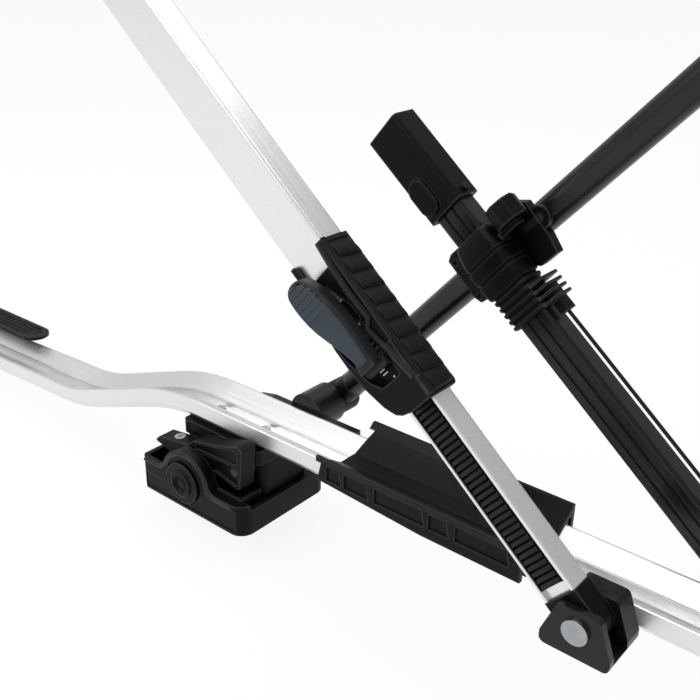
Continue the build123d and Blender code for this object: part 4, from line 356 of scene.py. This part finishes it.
def finishPiece(name, bm, finish, body, arm=None, sharp=40, soft=0):
    bmesh.ops.remove_doubles(bm, verts=bm.verts, dist=mergeGap)
    bmesh.ops.transform(bm, matrix=armMatrix(arm) if arm else Matrix.Scale(mm, 4), verts=bm.verts)
    bmesh.ops.recalc_face_normals(bm, faces=bm.faces)
    mesh = bpy.data.meshes.new(name)
    bm.to_mesh(mesh)
    bm.free()
    for polygon in mesh.polygons:
        polygon.use_smooth = True
    mesh.set_sharp_from_angle(angle=math.radians(sharp))
    mesh.materials.append(finish)
    piece = bpy.data.objects.new(name, mesh)
    scene.collection.objects.link(piece)
    if soft:
        edges = piece.modifiers.new("softEdges", "BEVEL")
        edges.width = soft * mm
        edges.segments = 2
        edges.limit_method = "ANGLE"
        edges.angle_limit = math.radians(30)
        edges.harden_normals = True
    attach(piece, body)
    return piece


def addOutline(bm, points):  # a flat face from its corners, to be extruded
    return bm.faces.new([bm.verts.new(point) for point in points])


def pushFace(bm, face, way, keep=True):  # extrudes a face and returns the new one; keep leaves the old one as a cap
    made = bmesh.ops.extrude_face_region(bm, geom=[face])["geom"]
    if not keep:
        bmesh.ops.delete(bm, geom=[face], context="FACES_ONLY")
    bmesh.ops.translate(bm, verts=[v for v in made if isinstance(v, bmesh.types.BMVert)], vec=way)
    return next(f for f in made if isinstance(f, bmesh.types.BMFace))


def addBox(bm, low, high):
    made = bmesh.ops.create_cube(bm, size=1)["verts"]
    bmesh.ops.scale(bm, verts=made, vec=[b - a for a, b in zip(low, high)])
    bmesh.ops.translate(bm, verts=made, vec=[(a + b) / 2 for a, b in zip(low, high)])
    return made


def addRod(bm, start, end, radius, sides=24):
    way = Vector(end) - Vector(start)
    turned = way.to_track_quat("Z", "Y").to_matrix().to_4x4()
    turned.translation = (Vector(start) + Vector(end)) / 2
    bmesh.ops.create_cone(bm, cap_ends=True, segments=sides, radius1=radius, radius2=radius, depth=way.length,
                          matrix=turned)


def cutAcross(bm, place, way):  # splits every face that a plane crosses
    bmesh.ops.bisect_plane(bm, geom=bm.verts[:] + bm.edges[:] + bm.faces[:], plane_co=place, plane_no=way, dist=0.001)


def roundEdges(bm, edges, width, rounds):
    bmesh.ops.bevel(bm, geom=edges, offset=width, segments=rounds, profile=0.5, affect="EDGES", material=-1)


def spinShape(bm, points, centre, axis, sides=64):  # turns a profile once round an axis
    chain = [bm.verts.new(point) for point in points]
    edges = [bm.edges.new(pair) for pair in zip(chain, chain[1:])]
    bmesh.ops.spin(bm, geom=chain + edges, cent=centre, axis=axis, angle=math.tau, steps=sides, use_merge=True)


# rubber grip: nine scales that overlap, behind a narrow border and its groove

grip = {
    "low": 188, "high": 325, "near": -76, "far": -45, "bottom": 19.4, "top": 24.4,
    "lead": 0.8, "pitch": 14.6, "scales": 9, "relief": 2.5,
    "scale": ((0.0, 1.0), (0.03, 0.5), (0.09, 0.16), (0.2, 0.0), (0.45, 0.06), (0.75, 0.4), (0.97, 0.86)),
    "endSteps": ((4, 0.6), (1, 1.2), (0, 2.6)),
    "rows": (0, 0.04, 0.12, 0.35, 0.6, 0.78, 0.9, 0.96, 1.0),
    "bow": 3.2, "bowMargins": (3, 5), "cornerRound": 6, "cornerShare": 0.4,
    "crown": 2.4, "crownShare": 0.3, "crownPower": 2.2, "dip": 0.5, "dipShare": 0.1,
    "border": 5.2, "groove": 1.1, "borderRound": 1.3, "borderCorner": 2.6, "cornerReach": 1.5, "upright": 2,
    "bedEnd": 0.4, "bedSide": 0.5, "bedHigh": 2.2,
}


def makeGrip(look):
    bm = bmesh.new()
    low, high, top, bottom = look["low"], look["high"], look["top"], look["bottom"]
    start = look["near"] + look["border"] + look["groove"]
    width = look["far"] - start
    outline = [(low + look["lead"], start, bottom)]
    for n in range(look["scales"]):
        for along, down in look["scale"]:
            outline.append((low + (n + along) * look["pitch"] + look["lead"], start, top - down * look["relief"]))
    outline += [(high - back, start, top - down) for back, down in look["endSteps"]]
    outline.append((high, start, bottom))
    face = addOutline(bm, outline)
    for before, after in zip(look["rows"], look["rows"][1:]):
        face = pushFace(bm, face, (0, (after - before) * width, 0), keep=before == 0)
    bowLow, bowHigh = low + look["bowMargins"][0], high - look["bowMargins"][1]
    for v in bm.verts:
        side = (v.co.y - start) / width
        up = 1 if v.co.z > bottom + slack else 0
        bowed = up if bowLow < v.co.x < bowHigh else 0
        toEnd = max(0, v.co.x - high + look["cornerRound"]) / look["cornerRound"]
        inCorner = 1 - math.sqrt(max(0, 1 - toEnd * toEnd))
        atFar = max(0, (side - 1 + look["cornerShare"]) / look["cornerShare"])
        fall = max(0, (side - 1 + look["crownShare"]) / look["crownShare"]) ** look["crownPower"]
        dip = max(0, (look["dipShare"] - side) / look["dipShare"])
        v.co.x -= look["bow"] * side * side * bowed
        v.co.y -= look["cornerRound"] * inCorner * atFar
        v.co.z -= up * (look["crown"] * fall + look["dip"] * dip)
    border = addBox(bm, (low, look["near"], bottom), (high, look["near"] + look["border"], top))
    edges = [e for e in bm.edges if all(v in border for v in e.verts)
             and sum(v.co.z for v in e.verts) / 2 > top - slack]
    roundEdges(bm, edges, look["borderRound"], 3)
    nearLimit, highLimit = look["near"] + look["cornerReach"], high - look["cornerReach"]
    edges = [e for e in bm.edges if all(v.co.y < nearLimit and v.co.x > highLimit for v in e.verts)
             and abs(e.verts[0].co.z - e.verts[1].co.z) > look["upright"]]
    roundEdges(bm, edges, look["borderCorner"], 5)
    addBox(bm, (low + look["bedEnd"], look["near"] + look["bedSide"], bottom),
           (high - look["bedEnd"], look["far"] - look["bedSide"], bottom + look["bedHigh"]))
    piece = finishPiece("ribbedGrip", bm, gripRubber, "upper_arm", arm="near", sharp=38)
    weights = piece.modifiers.new("evenShade", "WEIGHTED_NORMAL")
    weights.keep_sharp = True
    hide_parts("rubber_grip")


makeGrip(grip)


# shell border: the raised bead along the side of the housing

shell = {
    "face": -79.6, "proud": 2.2, "wide": 6.4, "body": "upper_arm",
    "line": ((204, 22.4), (219, 19.6), (235.5, 15.6), (252, 12.4), (257.6, 19.9), (278, 18.3), (300, 19.8),
             (321, 22.6)),
}
beadSection = ((-1, 0), (-0.85, 0.55), (-0.45, 0.95), (0, 1.0), (0.45, 0.95), (0.85, 0.55), (1, 0))


def makeBead(name, look, arm=None):  # a low rounded ridge on a side face, whose middle runs through the line's points
    bm = bmesh.new()
    half = look["wide"] / 2
    places = [Vector((point[0], look["face"], point[1])) for point in look["line"]]
    rings = []
    for n, place in enumerate(places):
        way = (places[min(n + 1, len(places) - 1)] - places[max(n - 1, 0)]).normalized()
        across = way.cross(Vector((0, 1, 0))).normalized()
        section = [bm.verts.new(place + across * side * half - Vector((0, rise * look["proud"], 0)))
                   for side, rise in beadSection]
        rings.append([bm.edges.new(pair) for pair in zip(section, section[1:] + section[:1])])
    for before, after in zip(rings, rings[1:]):
        bmesh.ops.bridge_loops(bm, edges=before + after)
    for end in (rings[0], rings[-1]):
        bmesh.ops.edgeloop_fill(bm, edges=end)
    finishPiece(name, bm, beadNylon, look["body"], arm=arm, sharp=50)


makeBead("shellBorder", shell, arm="near")


# ratchet lever pad: the blue grey field inside the dark rim, with thumb grooves

leverPad = {
    "pivot": 227, "length": 86.5, "low": 25.3, "high": 9.5, "face": -92, "proud": 0.7, "sink": 1.6,
    "shoulder": 0.5, "slope": 1.1,
    "outline": ((0.07, -0.2), (0.16, -0.26), (0.29, -0.41), (0.41, -0.6), (0.52, -0.76), (0.63, -0.87), (0.72, -0.92),
                (0.8, -0.94), (0.87, -0.93), (0.915, -0.91), (0.945, -0.85), (0.962, -0.74), (0.965, -0.6),
                (0.958, -0.42), (0.942, -0.27), (0.91, -0.14), (0.86, -0.03), (0.79, 0.12), (0.71, 0.27), (0.64, 0.42),
                (0.565, 0.52), (0.49, 0.6), (0.42, 0.65), (0.34, 0.68), (0.26, 0.68), (0.16, 0.62), (0.07, 0.56)),
    "grooves": 6, "first": 281, "pitch": 5.5, "gap": 1.3, "deep": 0.62, "grooveEnd": -3.2,
}


def makeLeverPad(look):
    bm = bmesh.new()
    points = [(look["pivot"] + along * look["length"], look["face"] + look["sink"],
               up * (look["low"] if up < 0 else look["high"])) for along, up in look["outline"]]
    face = addOutline(bm, points)
    face = pushFace(bm, face, (0, look["shoulder"] - look["sink"] - look["proud"], 0))
    bmesh.ops.inset_region(bm, faces=[face], thickness=look["slope"], use_even_offset=True)
    top = look["face"] - look["proud"]
    for v in face.verts:
        v.co.y = top
    middles = [look["first"] + n * look["pitch"] for n in range(look["grooves"])]
    for middle in middles:
        for side in (-1, 0, 1):
            cutAcross(bm, (middle + side * look["gap"] / 2, 0, 0), (1, 0, 0))
    cutAcross(bm, (0, 0, look["grooveEnd"]), (0, 0, 1))
    for v in bm.verts:
        inGroove = min(abs(v.co.x - middle) for middle in middles) < slack / 5
        if inGroove and v.co.z < look["grooveEnd"] + slack and v.co.y < top + 2 * slack:
            v.co.y += look["deep"]
    finishPiece("leverPad", bm, finishes["lever_plastic"], "ratchet_lever_body", arm="near",
                sharp=24)


makeLeverPad(leverPad)


# rubber sleeves of the hook and of the hoop, with rounded ends and shallow rings

sleeves = [
    {"name": "hookSleeve", "node": "hook_pad", "body": "upper_arm", "arm": "near", "u": 697, "v": -3.2,
     "start": -30.5, "end": 17.5, "radius": 11, "bore": 7.05},
    {"name": "hoopSleeve", "node": "hoop_pad", "body": "hoop_arm", "arm": "hoop", "u": 765, "v": 0,
     "start": -4, "end": 44, "radius": 15, "bore": 10.05},
]
sleeveForm = {
    "end": ((0, 0.55), (0.6, 0.84), (1.6, 0.97)),  # along from an end, and share of the wall
    "plain": 4, "rings": 5, "sides": 48,
    "ring": ((0.08, 0), (0.42, 0), (0.48, 0.55), (0.55, 0.7), (0.62, 0.55), (0.68, 0)),  # share of a pitch, and depth
}


def makeSleeve(look, form):
    bm = bmesh.new()
    wall = look["radius"] - look["bore"]
    length = look["end"] - look["start"]
    pitch = (length - 2 * form["plain"]) / form["rings"]
    outline = [(0, look["bore"])] + [(along, look["bore"] + wall * share) for along, share in form["end"]]
    for n in range(form["rings"]):
        outline += [(form["plain"] + (n + along) * pitch, look["radius"] - down) for along, down in form["ring"]]
    outline += [(length - along, look["bore"] + wall * share) for along, share in reversed(form["end"])]
    outline += [(length, look["bore"]), (0, look["bore"])]
    points = [(look["u"] + out, look["start"] + along, look["v"]) for along, out in outline]
    spinShape(bm, points, (look["u"], 0, look["v"]), (0, 1, 0), sides=form["sides"])
    piece = finishPiece(look["name"], bm, finishes["black_rubber"], look["body"], arm=look["arm"])
    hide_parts(look["node"])


for sleeveLook in sleeves:
    makeSleeve(sleeveLook, sleeveForm)


# rubber pads under the foot and under the rear clamp, ribbed where they rest on the bar

barPads = [
    {"name": "footPad", "node": "front_bar_pad", "x": 0, "halfLength": 22, "halfWidth": 28, "high": 6, "corner": 3,
     "ribs": 6, "rib": 1.0},
    {"name": "rearPad", "node": "rear_bar_pad", "x": -700, "halfLength": 22, "halfWidth": 22, "high": 2.4,
     "corner": 2.4, "ribs": 5, "rib": 0.7},
]
padRib = {"share": 0.3, "margin": 1.5, "lap": 0.4, "round": 0.35}


def makeBarPad(look, form):
    bm = bmesh.new()
    base = look["rib"]
    x, halfLength, halfWidth = look["x"], look["halfLength"], look["halfWidth"]
    slab = addBox(bm, (x - halfLength, -halfWidth, base), (x + halfLength, halfWidth, look["high"]))
    upright = [e for e in bm.edges if abs(e.verts[0].co.z - e.verts[1].co.z) > slack and e.verts[0] in slab]
    roundEdges(bm, upright, look["corner"], 5)
    pitch = 2 * halfWidth / look["ribs"]
    ribHalf = halfLength - form["margin"]
    for n in range(look["ribs"]):
        middle = -halfWidth + (n + 0.5) * pitch
        rib = addBox(bm, (x - ribHalf, middle - pitch * form["share"], 0),
                     (x + ribHalf, middle + pitch * form["share"], base + form["lap"]))
        low = [e for e in bm.edges if all(v in rib and v.co.z < slack for v in e.verts)]
        roundEdges(bm, low, form["round"], 2)
    piece = finishPiece(look["name"], bm, finishes["black_rubber"], "base")
    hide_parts(look["node"])


for padLook in barPads:
    makeBarPad(padLook, padRib)


# wheel strap: a ladder of rungs between two edge beads, with a round slotted tip

strap = {
    "y": 26.5, "wide": 34, "thick": 4, "reach": 451, "start": -826,
    "bead": 4.2, "beadLap": 0.6, "joint": 0.5,
    "head": 22, "headSide": 1, "webSide": 2, "webShares": (0.42, 0.05),
    "rung": 7.0, "rungStart": 24, "rungShare": 0.52, "rungSlope": 0.3, "rungDrop": 0.8, "rungTop": 0.3, "rungLast": 8,
    "tipSteps": 24, "slot": 16, "slotWide": 6, "slotShift": 0.2, "cuts": 44, "cutPitch": 10,
    "path": ((0, 47), (30, 47), (60, 47), (90, 46.9), (120, 46.4), (150, 45.3), (180, 43.8), (210, 42.6),
             (240, 42.3), (280, 42.8), (330, 43.6), (390, 44.4), (451, 45)),
}


def strapHeight(look, along):
    places = look["path"]
    for (a, low), (b, high) in zip(places, places[1:]):
        if along <= b:
            return low + (high - low) * (along - a) / (b - a)
    return places[-1][1]


def addStrapTip(bm, look, tipStart):  # a half disc with its slot
    half, bottom, steps = look["wide"] / 2, -look["thick"] / 2, look["tipSteps"]
    turns = [math.pi * n / steps for n in range(1, steps)]
    corners = [(tipStart, -half)] + [(tipStart + half * math.sin(a), -half * math.cos(a)) for a in turns]
    corners.append((tipStart, half))
    outer = [bm.verts.new((x, y, bottom)) for x, y in corners]
    radius, straight = look["slotWide"] / 2, look["slot"] / 2 - look["slotWide"] / 2
    inner = []
    for n in range(steps):
        x, y = math.cos(math.tau * n / steps), math.sin(math.tau * n / steps)
        stretch = math.copysign(straight, y if abs(y) > mergeGap else 0.0)
        inner.append(bm.verts.new((tipStart + radius * x + half * look["slotShift"], radius * y + stretch, bottom)))
    edges = [bm.edges.new(pair) for ring in (outer, inner) for pair in zip(ring, ring[1:] + ring[:1])]
    made = bmesh.ops.triangle_fill(bm, edges=edges, use_beauty=True, normal=(0, 0, 1))["geom"]
    flat = [f for f in made if isinstance(f, bmesh.types.BMFace)]
    lifted = bmesh.ops.extrude_face_region(bm, geom=flat)["geom"]
    bmesh.ops.translate(bm, verts=[v for v in lifted if isinstance(v, bmesh.types.BMVert)],
                        vec=(0, 0, look["thick"]))


def makeStrap(look):
    bm = bmesh.new()
    half, thick = look["wide"] / 2, look["thick"]
    tipStart = look["reach"] - half
    joint = tipStart + look["joint"]
    rungs = int((tipStart - look["rungLast"] - look["rungStart"]) / look["rung"])
    for side in (-1, 1):  # edge beads along both sides
        low, high = sorted((side * (half - look["bead"]), side * half))
        addBox(bm, (0, low, -thick / 2), (joint, high, thick / 2))
    headHalf, webHalf = half - look["headSide"], half - look["webSide"]
    addBox(bm, (0, -headHalf, -thick / 2), (look["head"], headHalf, thick / 2))
    addBox(bm, (0, -webHalf, -thick * look["webShares"][0]), (joint, webHalf, -thick * look["webShares"][1]))
    rungHalf = half - look["bead"] + look["beadLap"]
    for n in range(rungs):
        at = look["rungStart"] + n * look["rung"]
        rung = addBox(bm, (at, -rungHalf, -thick / 2 + look["rungDrop"]),
                      (at + look["rung"] * look["rungShare"], rungHalf, thick / 2 - look["rungTop"]))
        for v in rung:
            if v.co.z > 0 and v.co.x > at + 1:
                v.co.x -= look["rung"] * look["rungSlope"]
    addStrapTip(bm, look, tipStart)
    for n in range(look["cuts"]):
        cutAcross(bm, ((n + 1) * look["cutPitch"], 0, 0), (1, 0, 0))
    for v in bm.verts:
        v.co.z += strapHeight(look, v.co.x)
    bmesh.ops.translate(bm, verts=bm.verts, vec=(look["start"], look["y"], 0))
    piece = finishPiece("ladderStrap", bm, finishes["strap_plastic"], "shoe")
    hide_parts("wheel_strap")


makeStrap(strap)
print("soft pieces made")


# toothed strip: a ladder of small moulded bars in a black frame, along the near face of the bar

ladder = {
    "start": 32, "end": 396.5, "half": 11, "back": -63.8, "high": 3.2, "floor": 0.7, "frame": 0.7, "frameDrop": 0.4,
    "lead": 1, "pitch": 5.0, "bar": 3.3, "lowMargin": 0.9, "highMargin": 1.7, "foot": 0.2, "slope": 0.7, "round": 0.5,
}


def makeLadder(look):
    bm = bmesh.new()
    start, end, half, back = look["start"], look["end"], look["half"], look["back"]
    addBox(bm, (start, back - look["floor"], -half), (end, back, half))
    for low, high in ((-half, -half + look["frame"]), (half - look["frame"], half)):
        addBox(bm, (start, back - look["high"] + look["frameDrop"], low), (end, back, high))
    # floor and frame faces take the second, darker material as painted shade in the gaps between the bars
    for face in bm.faces:
        face.material_index = 1
    tops = []
    for n in range(int((end - start - look["lead"]) / look["pitch"])):
        at = start + look["lead"] + n * look["pitch"]
        bar = addBox(bm, (at, back - look["high"], -half + look["lowMargin"]),
                     (at + look["bar"], back - look["foot"], half - look["highMargin"]))
        for v in bar:
            if v.co.y < back - 1 and v.co.x > at + 1:
                v.co.y += look["slope"]
        tops += [e for e in bm.edges if all(v in bar and v.co.y < back - 1 for v in e.verts)]
    roundEdges(bm, tops, look["round"], 2)
    piece = finishPiece("ladderStrip", bm, finishes["strip_plastic"], "near_arm", arm="near",
                        sharp=50)
    piece.data.materials.append(paintedShadeBed)
    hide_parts("toothed_strip")


makeLadder(ladder)


# rim of the foot: a bead that follows the top edge of the near wall and its arch

footRim = {
    "face": -62.3, "proud": 1.5, "wide": 3.0, "body": "base",
    "line": ((-69.5, 33.6), (-60, 33.6), (-50, 33.8), (-44.5, 35), (-40.5, 38.2), (-37, 42.4), (-32.6, 48.6),
             (-27, 54), (-20, 58.2), (-12, 60.6), (-4, 60.9), (3.5, 58.8), (10, 54.8), (15, 49.4), (18.6, 43),
             (21.4, 37.4), (25, 32.8), (30, 30.2), (36, 29.3), (54, 29.2)),
}
makeBead("footRim", footRim)


# adjuster dial: a turned cap with a round lip, a dished middle and a small dome

dial = {
    "x": -12, "z": 30, "sides": 72,
    "outline": ((0, -65.6), (3.4, -65.5), (5.6, -64.9), (6.6, -64.3), (7.6, -64.4), (8.6, -65.4), (9.6, -66.6),
                (10.8, -67), (12.4, -67), (13.6, -66.6), (14.3, -65.8), (14.6, -64.6), (14.6, -58.2), (0, -58.2)),
}


def makeDial(look):
    bm = bmesh.new()
    spinShape(bm, [(look["x"] + out, y, look["z"]) for out, y in look["outline"]], (look["x"], 0, look["z"]),
              (0, 1, 0), sides=look["sides"])
    piece = finishPiece("adjusterDial", bm, finishes["black_plastic"], "adjuster_cap_body", sharp=45)
    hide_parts("adjuster_cap")


makeDial(dial)


# small steel parts in the recess of the housing: rivet heads and the legs of the pawl spring

recess = {
    "rivets": ((300, -3.5, -69.6, 1.5), (282, -11.5, -69.6, 1.2), (243, 15.8, -76.4, 1.3), (214, 4, -76.3, 1.0)),
    "flat": 0.7, "sides": 20, "rows": 10,
    "legs": ((219.5, -77.5, -3, 219.5, -77.5, 3), (222.6, -77.5, -4, 222.6, -77.5, 2)),
    "wire": 0.7, "wireSides": 14,
}


def makeRecessSteel(look):
    bm = bmesh.new()
    for u, v, y, radius in look["rivets"]:
        ball = bmesh.ops.create_uvsphere(bm, u_segments=look["sides"], v_segments=look["rows"], radius=radius)["verts"]
        bmesh.ops.scale(bm, verts=ball, vec=(1, look["flat"], 1))
        bmesh.ops.translate(bm, verts=ball, vec=(u, y, v))
    for leg in look["legs"]:
        addRod(bm, leg[:3], leg[3:], look["wire"], sides=look["wireSides"])
    finishPiece("recessSteel", bm, finishes["lock_metal"], "upper_arm", arm="near", sharp=50)


makeRecessSteel(recess)


# collar on the prop: a moulded sleeve with rings below, two creases round its belly, fins and an ear for the knob

collar = {
    "y": 48, "halfY": 14, "halfV": 19, "corner": 5.5, "boreY": 10.3, "boreV": 15.3, "boreCorner": 0.6,
    "low": 255, "high": 335, "mouth": ((0, -1.6), (0.7, -0.3)),
    "rings": 5, "ringPitch": 6, "ring": ((1.2, 0.2), (3.4, 0.2), (4.0, -1.2), (5.4, -1.2)),
    "belly": ((285, 0.5), (286.5, 1.1), (292, 1.6), (297.8, 1.6), (298.6, 0.5), (300.0, 0.5), (300.8, 1.7), (306, 2.0),
              (311.6, 1.8), (312.4, 0.6), (313.8, 0.6), (314.6, 1.5), (322, 0.9), (329, -0.3), (333.5, -1.4),
              (335, -2.6)),
    "fins": 4, "finPitch": 5.8, "fin": 2.3, "finTop": 31, "finHalf": 12.6, "finSink": 2, "finRound": 2.6,
    "ear": (316.4, 321, 40, 6), "earSink": 1, "earRound": 3.0, "block": (243, 267, 24, 4.5, 5.5), "blockRound": 1.2,
    "stud": 3.5, "studV": 34.4, "studEnd": 335.4, "cornerSteps": 6,
}


def addLoop(bm, u, middle, halfY, halfV, corner, steps):  # one closed rounded rectangle across the prop
    made = []
    for sideY, sideV, start in ((1, 1, 0), (-1, 1, 90), (-1, -1, 180), (1, -1, 270)):
        for n in range(steps):
            angle = math.radians(start + n * 90 / (steps - 1))
            made.append(bm.verts.new((u, middle + sideY * (halfY - corner) + corner * math.cos(angle),
                                      sideV * (halfV - corner) + corner * math.sin(angle))))
    return [bm.edges.new(pair) for pair in zip(made, made[1:] + made[:1])]


def makeCollar(look):
    bm = bmesh.new()
    y, halfY, halfV, steps = look["y"], look["halfY"], look["halfV"], look["cornerSteps"]
    profile = [(look["low"] + along, grow) for along, grow in look["mouth"]]
    for n in range(look["rings"]):
        profile += [(look["low"] + n * look["ringPitch"] + along, grow) for along, grow in look["ring"]]
    profile += look["belly"]
    loops = []
    for u, grow in profile:
        back = min(grow, 0)  # the far side stays flat beside the crossing plate
        loops.append(addLoop(bm, u, y + (back - grow) / 2, halfY + (back + grow) / 2, halfV + grow, look["corner"],
                             steps))
    bores = [addLoop(bm, u, y, look["boreY"], look["boreV"], look["boreCorner"], steps)
             for u in (look["low"], look["high"])]
    walls = list(zip(loops, loops[1:])) + [bores, (loops[0], bores[0]), (loops[-1], bores[1])]
    for before, after in walls:
        bmesh.ops.bridge_loops(bm, edges=before + after)
    shapes = []
    for n in range(look["fins"]):
        at = look["low"] + n * look["finPitch"]
        shapes.append((addBox(bm, (at, y - look["finHalf"], halfV - look["finSink"]),
                              (at + look["fin"], y + look["finHalf"], look["finTop"])), look["finRound"]))
    low, high, top, half = look["ear"]
    shapes.append((addBox(bm, (low, y - half, halfV - look["earSink"]), (high, y + half, top)), look["earRound"]))
    low, high, middle, blockV, blockY = look["block"]
    shapes.append((addBox(bm, (low, y - blockY, middle - blockV), (high, y + blockY, middle + blockV)),
                   look["blockRound"]))
    for verts, width in shapes:
        own = set(verts)
        edges = [e for e in bm.edges if set(e.verts) <= own
                 and abs(e.verts[0].co.x - e.verts[1].co.x) > slack and e.verts[0].co.z > halfV + 1]
        roundEdges(bm, edges, width, 4)
    addRod(bm, (look["ear"][1] - 1, y, look["studV"]), (look["studEnd"], y, look["studV"]), look["stud"])
    piece = finishPiece("slidingCollar", bm, finishes["black_plastic"], "collar", arm="prop",
                        soft=0.5)
    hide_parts("prop_collar")


makeCollar(collar)
print("moulded pieces made")
